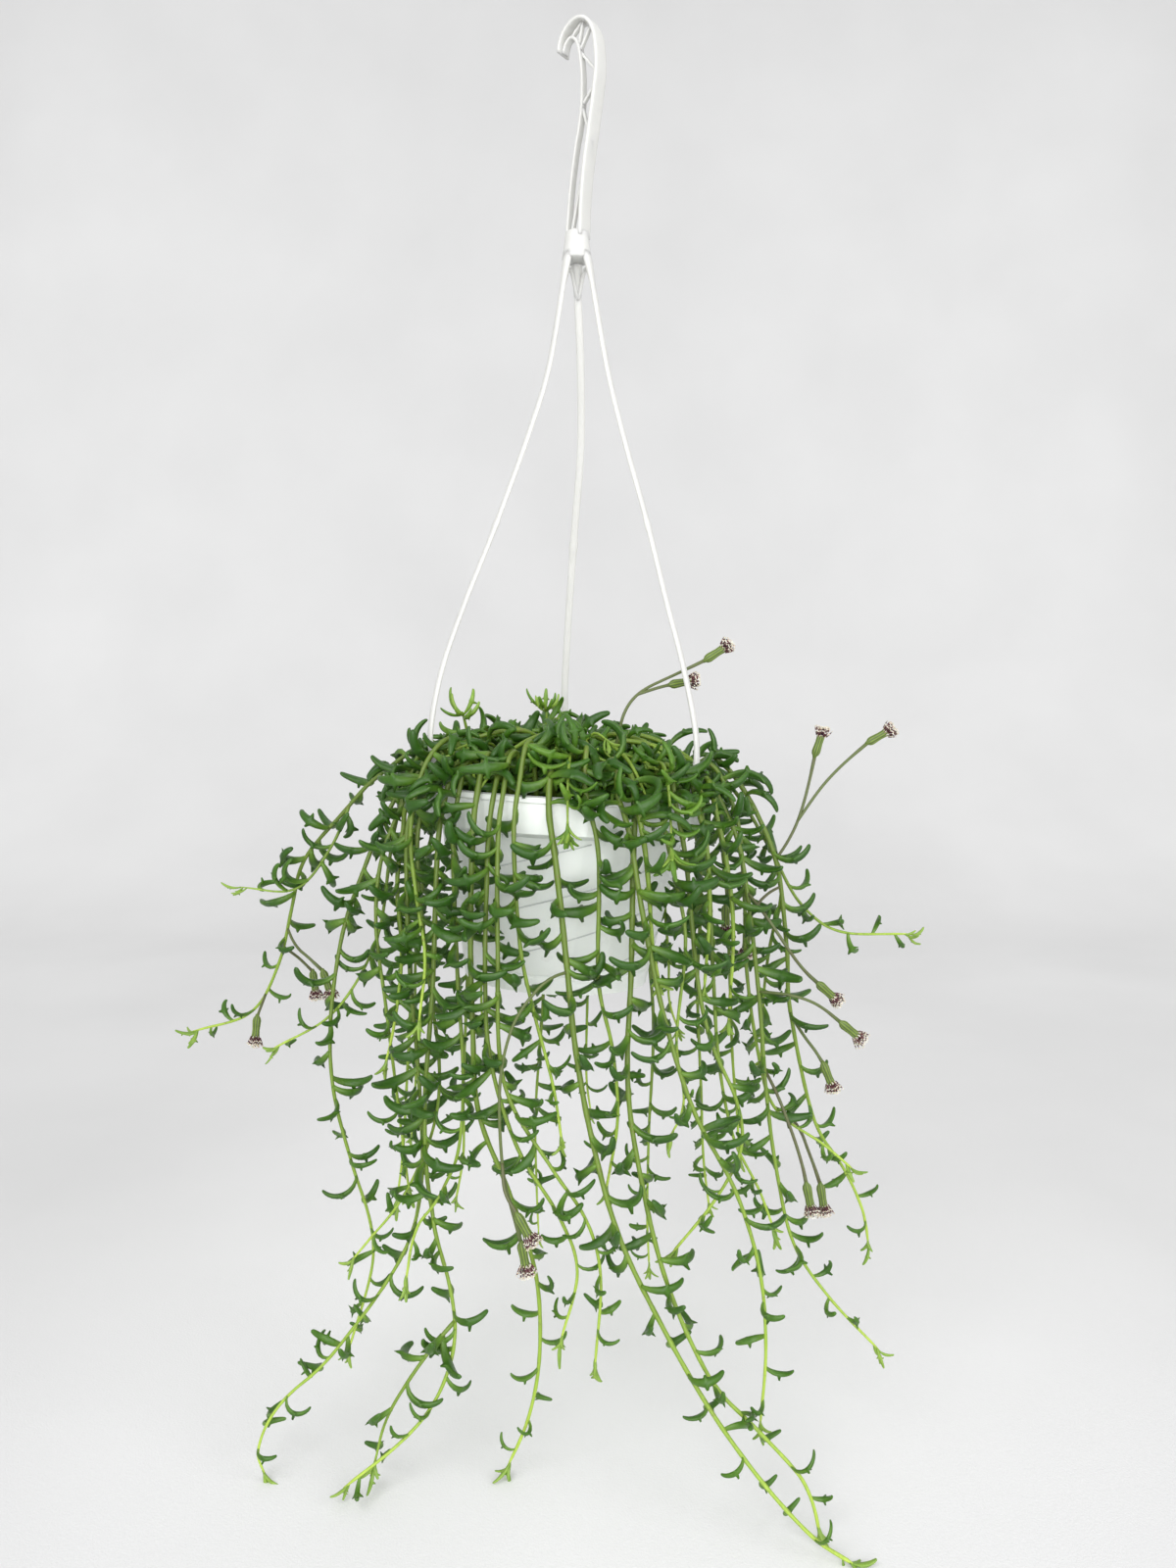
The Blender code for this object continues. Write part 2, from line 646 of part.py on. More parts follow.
def smooth_line(places, step):
    """Places an even step apart along a smooth curve through the given ones."""
    ends = [np.array(place, float) for place in places]
    ends = [2 * ends[0] - ends[1], *ends, 2 * ends[-1] - ends[-2]]
    dense = []
    for before, first, second, after in zip(ends, ends[1:], ends[2:], ends[3:]):
        pieces = max(2, int(np.linalg.norm(second - first) / 1.0))
        for number in range(pieces):
            t = number / pieces
            dense.append(
                0.5
                * (
                    2 * first
                    + (second - before) * t
                    + (2 * before - 5 * first + 4 * second - after) * t**2
                    + (3 * first - before - 3 * second + after) * t**3
                )
            )
    dense.append(ends[-2])
    dense = np.array(dense)
    along = np.concatenate([[0], np.cumsum(np.linalg.norm(np.diff(dense, axis=0), axis=1))])
    count = max(3, int(along[-1] / step) + 1)
    wanted = np.linspace(0, along[-1], count)
    return np.stack([np.interp(wanted, along, dense[:, axis]) for axis in range(3)], axis=1)


def thin_out(places, slack):
    """The fewest places whose straight pieces stay within a slack of the line through them all."""
    kept = {0, len(places) - 1}
    spans = [(0, len(places) - 1)]
    while spans:
        first, last = spans.pop()
        if last - first < 2:
            continue
        start = places[first]
        way = places[last] - start
        inner = places[first + 1 : last] - start
        along = np.clip(inner @ way / max(way @ way, 1e-9), 0, 1)
        off = np.linalg.norm(inner - along[:, None] * way, axis=1)
        worst = int(np.argmax(off))
        if off[worst] > slack:
            middle = first + 1 + worst
            kept.add(middle)
            spans += [(first, middle), (middle, last)]
    return places[sorted(kept)]


def azimuth_of(place):
    return math.degrees(math.atan2(place[0], -place[1]))


def back_routes():
    """Routes of the stems that hang behind the pot and at its sides."""
    draw = random.Random(BACK_SEED)
    for number, azimuth in enumerate(BACK_AZIMUTHS):
        length = draw.uniform(150, 330)
        sway = draw.uniform(-14, 14)
        out = draw.uniform(3, 14)
        angle = math.radians(azimuth)
        heading = np.array((math.sin(angle), -math.cos(angle), 0.0))
        side = np.array((math.cos(angle), math.sin(angle), 0.0))
        route = [heading * (RIM_RADIUS + 7) + (0, 0, draw.uniform(-14, 2))]
        for share in (0.2, 0.45, 0.7, 0.88, 1.0):
            wander = sway * math.sin(2.6 * share) + draw.uniform(-3, 3)
            reach = RIM_RADIUS + 12 + out * math.sin(math.pi * min(share, 0.8)) + 26 * max(0, share - 0.6)
            drop = -12 - length * share
            route.append(heading * reach + side * wander + (0, 0, drop))
        yield (
            f"stem_back_{number + 1:02d}",
            draw.uniform(10, 24),
            draw.uniform(1.25, 1.55),
            [tuple(place) for place in route],
        )


def root_azimuths(wanted, apart=6.2):
    """Turns the roots apart from each other around the soil, keeping their order."""
    order = sorted(range(len(wanted)), key=lambda number: wanted[number] % 360)
    angles = [wanted[number] % 360 for number in order]
    for _ in range(200):
        for place in range(len(angles)):
            after = (place + 1) % len(angles)
            room = (angles[after] - angles[place]) % 360
            if room > 180:
                room -= 360
            if room < apart:
                push = (apart - room) / 2
                angles[place] -= push
                angles[after] += push
    return dict(zip(order, angles)), {number: place % 2 for place, number in enumerate(order)}


def all_shoots():
    """Every stem, side shoot and stalk: its node, kind, radius, and line in millimetres."""
    stems = [*STEMS, *back_routes()]
    angles, rows = root_azimuths([azimuth_of(route[0]) for _, _, _, route in stems])
    shoots = []
    for number, (name, arch, radius, route) in enumerate(stems):
        root_radius = ROOT_CIRCLES[rows[number]]
        angle = angles[number]
        over = azimuth_of(route[0])
        lean = (over - angle + 180) % 360 - 180
        root = on_pot(root_radius, angle, HOLE_FLOOR + 1.0)
        start = [
            on_pot(root_radius, angle, SOIL_TOP + 1.5),
            on_pot(root_radius + 2.0, angle + 0.15 * lean, -3.0),
            on_pot(RIM_RADIUS - 7, angle + 0.55 * lean, arch * 0.86),
            on_pot(RIM_RADIUS, angle + 0.8 * lean, float(arch)),
        ]
        line = smooth_line([*(tuple(place) for place in start), *route], SAMPLE)
        shoots.append(new_shoot(name, "stem", radius, np.concatenate([[root], line]), 5))
    for name, radius, route in BRANCHES:
        shoots.append(new_shoot(name, "branch", radius, smooth_line(route, SAMPLE), 1))
    for name, route in STALKS:
        shoots.append(new_shoot(name, "stalk", STALK_RADIUS, smooth_line(route, SAMPLE), 1))
    return shoots


def new_shoot(node, kind, radius, line, held):
    """A shoot's first places, as many as held, stay where they are."""
    return {"node": node, "kind": kind, "radius": radius, "line": line, "held": held}


def radii_along(shoot):
    """A shoot's radius at each of its places, tapering to its tip. A head is wider than its stalk."""
    count = len(shoot["line"])
    share = np.linspace(0, 1, count)
    if shoot["kind"] == "stalk":
        radii = np.full(count, shoot["radius"])
        length = SAMPLE * (count - 1)
        radii[share * length > length - HEAD_LENGTH] = HEAD_RADIUS
        return radii
    return shoot["radius"] * taper(share)


def taper(share):
    """How thick a shoot still is at a share of its length."""
    return 1 - 0.5 * share**1.4


def head_balls(shoot):
    """Balls that hold a flower head."""
    start, way = head_start(shoot)
    centres = [np.array(start + way * distance) for distance in range(0, int(HEAD_LENGTH) + 1, 3)]
    return np.array(centres), np.full(len(centres), HEAD_RADIUS)


def pot_outside(height):
    """The pot's outer radius at a height, or nothing above and below it."""
    profile = pot_profile()[5:15]
    heights = [place[1] for place in profile][::-1]
    outer = [place[0] for place in profile][::-1]
    return np.interp(height, heights, outer, left=-1.0, right=-1.0)


def keep_off_pot(places, radii):
    """Moves places outside the rim away from the pot's wall, and off the floor."""
    turn = np.array(Matrix.Rotation(POT_TILT, 3, "Y"))
    local = places @ turn
    around = np.hypot(local[:, 0], local[:, 1])
    need = pot_outside(np.minimum(local[:, 2], -0.01)) + radii + POT_GAP
    outside = (around > RIM_RADIUS - 4.0) & (local[:, 2] < 0.5 + radii)
    short = outside & (around < need)
    scale = np.where(short, need / np.maximum(around, 1e-6), 1.0)
    local[:, :2] *= scale[:, None]
    over = (np.abs(around - RIM_RADIUS + 2) < 5.0) & (local[:, 2] > -2.0)
    low = over & (local[:, 2] < radii + POT_GAP)
    local[low, 2] = (radii + POT_GAP)[low]
    moved = local @ turn.T
    moved[:, 2] = np.maximum(moved[:, 2], FLOOR + radii + 0.3)
    return moved


def settle(shoots, legs):
    """Bends shoots of different nodes clear of each other, of the hanger's legs and of the pot."""
    names = sorted({shoot["node"] for shoot in shoots})
    places = np.concatenate([shoot["line"] for shoot in shoots] + legs)
    leg_radii = [np.full(len(leg), NUB_RADIUS + 0.2) for leg in legs]
    radii = np.concatenate([radii_along(shoot) for shoot in shoots] + leg_radii)
    owner = np.concatenate(
        [np.full(len(shoot["line"]), names.index(shoot["node"])) for shoot in shoots]
        + [np.full(len(leg), len(names) + number) for number, leg in enumerate(legs)]
    )
    free = np.concatenate(
        [np.arange(len(shoot["line"])) >= shoot["held"] for shoot in shoots]
        + [np.zeros(len(leg), bool) for leg in legs]
    )
    first = np.cumsum([0] + [len(shoot["line"]) for shoot in shoots])
    for _ in range(SETTLE_ROUNDS):
        push = np.zeros_like(places)
        for low in range(0, len(places), 400):
            part = slice(low, low + 400)
            apart = places[part, None, :] - places[None, :, :]
            distance = np.linalg.norm(apart, axis=2)
            distance[owner[part, None] == owner[None, :]] = 1e6
            need = radii[part, None] + radii[None, :] + SETTLE_GAP
            short = need - distance
            worst = np.argmax(short, axis=1)
            rows = np.arange(len(worst))
            amount = np.maximum(short[rows, worst], 0)
            way = apart[rows, worst] / np.maximum(distance[rows, worst], 1e-6)[:, None]
            push[part] = way * (0.55 * amount)[:, None]
        push[~free] = 0
        for start, end in zip(first, first[1:]):
            run = push[start:end]
            for _ in range(2):
                padded = np.concatenate([run[:1], run, run[-1:]])
                blurred = (padded[:-2] + padded[1:-1] + padded[2:]) / 3
                strong = np.linalg.norm(run, axis=1) > np.linalg.norm(blurred, axis=1)
                run = np.where(strong[:, None], run, blurred)
            run[~free[start:end]] = 0
            push[start:end] = run
        places = places + push
        places[free] = keep_off_pot(places[free], radii[free])
    for shoot, start, end in zip(shoots, first, first[1:]):
        shoot["line"] = places[start:end]


def set_bones(shoots):
    """Fixes the few places that each solid shoot runs straight between, closer where it is crowded."""
    curves = [shoot["line"] for shoot in shoots]
    slack = [BONE_SLACK] * len(shoots)
    for _ in range(3):
        for number, shoot in enumerate(shoots):
            set_shoot_bones(shoots, number, curves[number], slack[number])
        for first, second in close_pairs(shoots):
            slack[first] *= 0.5
            slack[second] *= 0.5


def set_shoot_bones(shoots, number, line, slack):
    """Thins one shoot, starts a side shoot on its host, and leaves a stalk's head off its line."""
    shoot = shoots[number]
    hosts = [other["line"] for other in shoots[:number] if other["node"] == shoot["node"]]
    line = line.copy()
    if hosts:
        host = np.concatenate(hosts)
        line[0] = host[np.argmin(np.linalg.norm(host - line[0], axis=1))]
    if shoot["kind"] == "stalk":
        shoot["tip"] = line[-1]
        left = np.linalg.norm(np.diff(line, axis=0), axis=1)[::-1].cumsum()[::-1]
        line = line[: max(2, int(np.sum(left > HEAD_LENGTH)) + 1)]
    if shoot["kind"] == "stem":
        shoot["bones"] = np.concatenate([line[:1], thin_out(line[1:], slack)])
    else:
        shoot["bones"] = thin_out(line, slack)
    shoot["line"] = walk(shoot["bones"], SAMPLE)


def close_pairs(shoots):
    """Shoots of different nodes whose solids nearly touch."""
    for first, one in enumerate(shoots):
        for second, other in enumerate(shoots[:first]):
            if one["node"] == other["node"]:
                continue
            apart = np.linalg.norm(one["line"][:, None] - other["line"][None], axis=2)
            if np.any(apart - radii_along(one)[:, None] - radii_along(other)[None] < CLEARANCE):
                yield first, second


def walk(bones, step):
    """Places an even step apart along straight pieces."""
    along = np.concatenate([[0], np.cumsum(np.linalg.norm(np.diff(bones, axis=0), axis=1))])
    wanted = np.linspace(0, along[-1], max(3, int(along[-1] / step) + 1))
    return np.stack([np.interp(wanted, along, bones[:, axis]) for axis in range(3)], axis=1)


class Occupied:
    """The space that solids take, as balls, so that a new leaf can be tested against it."""

    def __init__(self):
        self.centres = np.zeros((0, 3))
        self.radii = np.zeros(0)
        self.nodes = np.zeros(0, int)
        self.leafy = np.zeros(0, bool)

    def add(self, centres, radii, node, leafy=False):
        self.centres = np.concatenate([self.centres, centres])
        self.radii = np.concatenate([self.radii, radii])
        self.nodes = np.concatenate([self.nodes, np.full(len(centres), node)])
        self.leafy = np.concatenate([self.leafy, np.full(len(centres), leafy)])

    def clear(self, centres, radii, node):
        """True where no ball meets another node's, or the outer part meets one of its own leaves."""
        for number, (centre, radius) in enumerate(zip(centres, radii)):
            distance = np.linalg.norm(self.centres - centre, axis=1) - self.radii - radius
            if np.any(distance[self.nodes != node] < CLEARANCE):
                return False
            own = (self.nodes == node) & self.leafy
            if number > 1 and np.any(distance[own] < 0):
                return False
        return True


def leaf_pose(tangent, turn, forward):
    """Which way a leaf sets out from its stem, and which way it curls."""
    out = Matrix.Rotation(turn, 3, tangent) @ tangent.orthogonal().normalized()
    heading = (out + tangent * forward).normalized()
    raised = Vector((0, 0, 1)) - tangent * 0.5
    curl = raised - heading * raised.dot(heading)
    return heading, curl.normalized()


def leaf_stands(line, draw, spacing):
    """Where leaves stand along a shoot: place, the shoot's way, turn, forward lean and size."""
    length = np.linalg.norm(np.diff(line, axis=0), axis=1).sum()
    step = length / (len(line) - 1)
    turn = draw.uniform(0, math.tau)
    along = spacing * 0.6
    while along < length - 9.0:
        share = along / length
        index = min(int(along / step), len(line) - 2)
        place = line[index] + (line[index + 1] - line[index]) * (along / step - index)
        tangent = Vector(line[index + 1] - line[index]).normalized()
        turn += GOLDEN_TURN + draw.uniform(-0.5, 0.5)
        size = draw.uniform(0.84, 1.14) * (1 - 0.42 * max(0.0, share - 0.6) / 0.4)
        yield Vector(place), tangent, turn, draw.uniform(0.25, 0.6), size, draw.uniform(104, 138)
        along += spacing * draw.uniform(0.85, 1.2)


def leaf_curve(place, heading, curl, size, bend):
    """The middle line of a leaf, out from its stem and round to its curl side, and its ways."""
    step = LEAF_LENGTH * size / BLADE_STEPS
    places = [Vector(place)]
    ways = []
    for number in range(BLADE_STEPS + 1):
        angle = math.radians(-12 + bend * (number / BLADE_STEPS) ** 0.9)
        way = heading * math.cos(angle) + curl * math.sin(angle)
        ways.append(way)
        places.append(places[-1] + way * step)
    return places[:-1], ways


def leaf_balls(place, heading, curl, size, bend, finned=True):
    """Balls that hold a leaf, from its root out, its fins' last."""
    places, ways = leaf_curve(place, heading, curl, size, bend)
    side = heading.cross(curl)
    corners = [0.0, *(share for share, _, _ in LEAF_STATIONS), 1.0]
    bones = np.array([places[round(share * BLADE_STEPS)] for share in corners])
    centres = []
    radii = []
    for share in np.linspace(0.08, 1.0, 12):
        centres.append(np.array([np.interp(share, corners, bones[:, axis]) for axis in range(3)]))
        radii.append(size * LEAF_BALL * min(1.0, 0.4 + share * 1.6, (1 - share) * 3.2 + 0.15))
    if finned:
        for number, reach in FIN_BALLS:
            for way in (-1, 1):
                centres.append(np.array(places[number] + side * (way * FIN_REACH * size * reach)))
                radii.append(1.2)
    return np.array(centres), np.array(radii)


def blade_mesh(name, pose, stations):
    """A keeled three-sided blade lofted along its curve, with a pair of fins at one station."""
    place, heading, curl, size, bend = pose
    places, ways = leaf_curve(place, heading, curl, size, bend)
    side = heading.cross(curl).normalized()
    shape = bmesh.new()
    root = shape.verts.new(places[0] * MM)
    rings = []
    for share, wide, finned in stations:
        number = round(share * BLADE_STEPS)
        inward = ways[number].cross(side) * -1
        scale = wide * size
        reach = FIN_REACH * size if finned else LEAF_HALF_WIDTH * scale
        lift = inward * (LEAF_INNER * scale * (0.2 if finned else 1.0))
        centre = places[number]
        rings.append(
            [
                shape.verts.new((centre + side * reach + lift) * MM),
                shape.verts.new((centre - side * reach + lift) * MM),
                shape.verts.new((centre - inward * (LEAF_KEEL * scale)) * MM),
            ]
        )
    tip = shape.verts.new(places[-1] * MM)
    for first, second in zip(rings, rings[1:]):
        for corner in range(3):
            after = (corner + 1) % 3
            shape.faces.new((first[corner], first[after], second[after]))
            shape.faces.new((first[corner], second[after], second[corner]))
    for corner in range(3):
        after = (corner + 1) % 3
        shape.faces.new((rings[-1][corner], rings[-1][after], tip))
        shape.faces.new((rings[0][after], rings[0][corner], root))
    bmesh.ops.recalc_face_normals(shape, faces=shape.faces)
    shape.transform(Matrix.Translation(to_world((0, 0, 0))))
    return mesh_from(shape, name)


def head_mesh(name, start, way, stations, corners, notch=1.0):
    """A cup or tuft lofted from a start place along its way, every other corner drawn in."""
    across = way.orthogonal().normalized()
    over = way.cross(across)
    shape = bmesh.new()
    rings = []
    for distance, radius in stations:
        ring = []
        for corner in range(corners):
            angle = math.tau * corner / corners
            reach = radius * (notch if corner % 2 else 1.0)
            spot = start + way * distance
            spot = spot + across * (reach * math.cos(angle)) + over * (reach * math.sin(angle))
            ring.append(shape.verts.new(spot * MM))
        rings.append(ring)
    shape.faces.new(rings[0][::-1])
    shape.faces.new(rings[-1])
    for first, second in zip(rings, rings[1:]):
        for corner in range(corners):
            after = (corner + 1) % corners
            shape.faces.new((first[corner], first[after], second[after], second[corner]))
    bmesh.ops.triangulate(shape, faces=shape.faces)
    bmesh.ops.recalc_face_normals(shape, faces=shape.faces)
    shape.transform(Matrix.Translation(to_world((0, 0, 0))))
    return mesh_from(shape, name)


def add_leaves(shoot, node, occupied, collection, draw, every):
    """Leaves of one shoot that stand clear of everything else, and the leaflet at its tip."""
    made = []
    line = shoot["line"]
    for number, stand in enumerate(leaf_stands(line, draw, LEAF_SPACING)):
        place, tangent, turn, forward, size, bend = stand
        if number % every:
            continue
        for extra in (0.0, 0.6, -0.6, 1.2, -1.2):
            heading, curl = leaf_pose(tangent, turn + extra, forward)
            pose = (place, heading, curl, size, bend)
            centres, radii = leaf_balls(*pose)
            if not near_pot(centres, radii) and occupied.clear(centres[1:], radii[1:], node):
                made.append(add_object("leaf", blade_mesh("leaf", pose, LEAF_STATIONS), collection))
                occupied.add(centres, radii, node, True)
                break
    way = Vector(line[-1] - line[-2]).normalized()
    heading, curl = leaf_pose(way, draw.uniform(0, math.tau), 2.0)
    pose = (Vector(line[-1]) - way * 1.6, heading, curl, LEAFLET_SIZE, 60)
    centres, radii = leaf_balls(*pose, finned=False)
    if not near_pot(centres, radii) and occupied.clear(centres[1:], radii[1:], node):
        made.append(add_object("leaflet", blade_mesh("leaflet", pose, LEAFLET_STATIONS), collection))
        occupied.add(centres, radii, node, True)
    return made


def near_pot(centres, radii):
    """True where a ball reaches the pot's wall, the soil or the floor."""
    turn = np.array(Matrix.Rotation(POT_TILT, 3, "Y"))
    local = centres @ turn
    around = np.hypot(local[:, 0], local[:, 1])
    wall = (local[:, 2] < radii + 0.5) & (around + radii > RIM_RADIUS - 5.0)
    wall &= around - radii < pot_outside(np.minimum(local[:, 2], -0.01)) + 0.5
    below = local[:, 2] - radii < -POT_HEIGHT - 1
    soil = (around < RIM_RADIUS - 5.0) & (local[:, 2] - radii < SOIL_TOP + 0.5) & ~below
    ground = centres[:, 2] - radii < FLOOR
    return bool(np.any(wall | soil | ground))


def bone_radii(shoot):
    """A shoot's radius at each of its bones."""
    bones = shoot["bones"]
    if shoot["kind"] == "stalk":
        return [shoot["radius"]] * len(bones)
    along = np.concatenate([[0], np.cumsum(np.linalg.norm(np.diff(bones, axis=0), axis=1))])
    return list(shoot["radius"] * taper(along / along[-1]))


def shoot_solid(shoot, name, collection):
    world = [to_world(place) for place in shoot["bones"]]
    made = tube_object(name, world, bone_radii(shoot), collection)
    return curve_to_mesh(made, name, collection)


def head_start(shoot):
    """Where a flower head's cup begins at the end of its stalk, and which way it points."""
    start = Vector(shoot["bones"][-1])
    return start, (Vector(shoot["tip"]) - start).normalized()


def cup_object(shoot, collection):
    start, way = head_start(shoot)
    return add_object("cup", head_mesh("cup", start, way, CUP_STATIONS, CUP_SIDES), collection)


def crown_core(collection):
    """A low uneven dome of old stems, standing on short roots in the soil."""
    shape = bmesh.new()
    bmesh.ops.create_uvsphere(shape, u_segments=12, v_segments=8, radius=1.0)
    draw = random.Random(CROWN_SEED)
    for vert in shape.verts:
        swell = 1 + draw.uniform(-0.04, 0.04)
        vert.co.x *= CORE_RADIUS * swell
        vert.co.y *= CORE_RADIUS * swell
        vert.co.z = SOIL_TOP + GAP + max(0.0, vert.co.z) * CORE_HEIGHT * swell
    bmesh.ops.dissolve_limit(
        shape, angle_limit=0.001, verts=shape.verts, edges=shape.edges, use_dissolve_boundaries=False
    )
    shape.transform(Matrix.Scale(MM, 4))
    shape.transform(pot_frame())
    bmesh.ops.remove_doubles(shape, verts=shape.verts, dist=0.00002)
    bmesh.ops.recalc_face_normals(shape, faces=shape.faces)
    return add_object("core", mesh_from(shape, "core"), collection)


def crown_roots():
    """Where the crown's own stems stand in the soil."""
    for number in range(CROWN_ROOTS):
        angle = math.tau * number / CROWN_ROOTS
        yield (CROWN_ROOT_CIRCLE * math.cos(angle), CROWN_ROOT_CIRCLE * math.sin(angle))


def crown_shoots():
    """Short arching shoots that rise out of the dome all round."""
    draw = random.Random(CROWN_SEED + 1)
    for number in range(CROWN_SHOOTS):
        azimuth = 360 * (number + draw.uniform(-0.3, 0.3)) / CROWN_SHOOTS
        inner = draw.uniform(8, 26)
        outer = inner + draw.uniform(18, 34)
        top = draw.uniform(26, 42)
        line = smooth_line(
            [
                tuple(on_pot(inner, azimuth, 4.0)),
                tuple(on_pot(inner + 5, azimuth + 6, top * 0.75)),
                tuple(on_pot((inner + outer) / 2, azimuth + 12, top)),
                tuple(on_pot(outer, azimuth + 16, top - 4)),
            ],
            SAMPLE,
        )
        yield new_shoot("crown", "branch", 1.4, line, 1)


def crown_leaf_poses():
    """Leaves that stand straight out of the dome, evenly over it."""
    draw = random.Random(CROWN_SEED + 2)
    for number in range(CROWN_LEAVES):
        share = (number + 0.5) / CROWN_LEAVES
        up = 0.18 + 0.8 * share
        around = number * GOLDEN_TURN
        flat = math.sqrt(1 - up * up)
        normal = Vector((flat * math.cos(around), flat * math.sin(around), up))
        place = Vector((normal.x * CORE_RADIUS, normal.y * CORE_RADIUS, up * CORE_HEIGHT)) * 0.84
        place.z += SOIL_TOP
        heading = (normal + Vector([draw.uniform(-0.35, 0.35) for _ in range(3)])).normalized()
        raised = Vector((draw.uniform(-0.4, 0.4), draw.uniform(-0.4, 0.4), 1.0))
        if heading.z > 0.8:
            raised = Vector((draw.uniform(-1, 1), draw.uniform(-1, 1), 0.1))
        curl = (raised - heading * raised.dot(heading)).normalized()
        turn = Matrix.Rotation(POT_TILT, 3, "Y")
        yield turn @ place, turn @ heading, turn @ curl, draw.uniform(1.0, 1.2), draw.uniform(90, 130)


def make_crown(stalks, occupied, collection, surface):
    """The dome with its roots, short shoots, leaves and stalks, as one solid."""
    node = 0
    pieces = []
    shape = bmesh.new()
    for place in crown_roots():
        add_cylinder(shape, 4, ROOT_RADIUS, HOLE_FLOOR + 1.0, SOIL_TOP + 4.0, place)
    shape.transform(pot_frame())
    pieces.append(add_object("crown_roots", mesh_from(shape, "crown_roots"), collection))
    for number, shoot in enumerate(crown_shoots()):
        shoot["bones"] = thin_out(shoot["line"], BONE_SLACK)
        shoot["line"] = walk(shoot["bones"], SAMPLE)
        radii = radii_along(shoot)
        if not occupied.clear(shoot["line"], radii, node):
            continue
        pieces.append(shoot_solid(shoot, f"crown_shoot_{number}", collection))
        occupied.add(shoot["line"], radii, node)
        draw = random.Random(CROWN_SEED + 10 + number)
        pieces.extend(add_leaves(shoot, node, occupied, collection, draw, 1))
    for pose in crown_leaf_poses():
        centres, radii = leaf_balls(*pose)
        if near_pot(centres, radii) or not occupied.clear(centres[2:], radii[2:], node):
            continue
        pieces.append(add_object("crown_leaf", blade_mesh("crown_leaf", pose, LEAF_STATIONS), collection))
        occupied.add(centres, radii, node, True)
    for shoot in stalks:
        pieces.append(shoot_solid(shoot, "crown_stalk", collection))
        pieces.append(cup_object(shoot, collection))
    mesh = join(crown_core(collection), pieces, "crown")
    shade_round(mesh, 50)
    add_object("crown", mesh, collection, surface)


def fill_space(occupied, shoots, names):
    """Marks the hanger's legs and feet, the crown's dome and every shoot as taken."""
    for number, side in enumerate(LEG_ROUTES):
        node = len(names) + number
        leg = leg_places(side)
        occupied.add(leg, np.full(len(leg), LEG_RADIUS + 0.2), node)
        foot = [
            on_pot(radius, LEG_AZIMUTHS[side] + turn, height)
            for radius in FOOT_BALL_CIRCLES
            for turn in FOOT_BALL_TURNS
            for height in FOOT_BALL_HEIGHTS
        ]
        occupied.add(np.array(foot), np.full(len(foot), FOOT_BALL), node)
    for radius, height, size in CORE_BALLS:
        ring = np.array([on_pot(radius, azimuth, height) for azimuth in range(0, 360, 30)])
        occupied.add(ring, np.full(len(ring), size), 0)
    for shoot in shoots:
        node = names.index(shoot["node"])
        occupied.add(shoot["line"], radii_along(shoot), node)
        if shoot["kind"] == "stalk":
            occupied.add(*head_balls(shoot), node)


def make_stem(name, node, own, occupied, collection, surface):
    pieces = []
    for shoot in own[1:]:
        pieces.append(shoot_solid(shoot, name + "_shoot", collection))
        if shoot["kind"] == "stalk":
            pieces.append(cup_object(shoot, collection))
    for place, shoot in enumerate(own):
        if shoot["kind"] != "stalk":
            draw = random.Random(node * 10 + place)
            pieces.extend(add_leaves(shoot, node, occupied, collection, draw, LEAVES_PER_SOLID_LEAF))
    mesh = join(shoot_solid(own[0], name + "_base", collection), pieces, name)
    shade_round(mesh, 50)
    add_object(name, mesh, collection, surface)


def make_plant(collection, surfaces):
    """The crown, every trailing stem, and the tufts. It gives back where stems stand in the soil."""
    shoots = all_shoots()
    settle(shoots, [leg_places(side) for side in LEG_ROUTES])
    set_bones(shoots)
    names = ["crown"] + [shoot["node"] for shoot in shoots if shoot["kind"] == "stem"]
    occupied = Occupied()
    fill_space(occupied, shoots, names)
    stalks = [shoot for shoot in shoots if shoot["kind"] == "stalk"]
    roots = [(place, ROOT_RADIUS) for place in crown_roots()]
    turn = np.array(Matrix.Rotation(POT_TILT, 3, "Y"))
    for node, name in enumerate(names[1:], start=1):
        own = [shoot for shoot in shoots if shoot["node"] == name]
        root = own[0]["line"][0] @ turn
        roots.append(((root[0], root[1]), own[0]["radius"]))
        make_stem(name, node, own, occupied, collection, surfaces["leaf"])
    crown_stalks = [shoot for shoot in stalks if shoot["node"] == "crown"]
    make_crown(crown_stalks, occupied, collection, surfaces["leaf"])
    for number, shoot in enumerate(stalks, start=1):
        start, way = head_start(shoot)
        name = f"florets_{number:02d}"
        foot = start + way * (CUP_LENGTH + GAP)
        mesh = head_mesh(name, foot, way, TUFT_STATIONS, 2 * TUFT_POINTS, TUFT_NOTCH)
        add_object(name, mesh, collection, surfaces["floret"])
    return roots


def main():
    for existing in list(bpy.data.objects):
        bpy.data.objects.remove(existing)
    parts = bpy.data.collections.new("potted_string_of_dolphins")
    cutters = bpy.data.collections.new("cutters")
    bpy.context.scene.collection.children.link(parts)
    bpy.context.scene.collection.children.link(cutters)
    surfaces = {
        "pot": material("pot_plastic", (0.80, 0.84, 0.80), 0.35),
        "hanger": material("hanger_plastic", (0.86, 0.86, 0.83), 0.4),
        "soil": material("soil", (0.035, 0.026, 0.02), 0.95),
        "leaf": material("leaf", (0.06, 0.17, 0.05), 0.4),
        "floret": material("floret", (0.72, 0.66, 0.52), 0.7),
    }
    make_pot(parts, cutters, surfaces["pot"])
    make_hanger(parts, surfaces["hanger"])
    roots = make_plant(parts, surfaces)
    make_soil(parts, cutters, surfaces["soil"], roots)


main()
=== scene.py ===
"""Looks of a potted string of dolphins: a trailing succulent in a white hanging pot.

The plant follows the same routes as its solids. Routes are in millimetres from the middle of the
pot's rim, and every piece is turned to metres from the hook's seat, where the row frame begins.
"""

import json
import math
import random
from types import SimpleNamespace

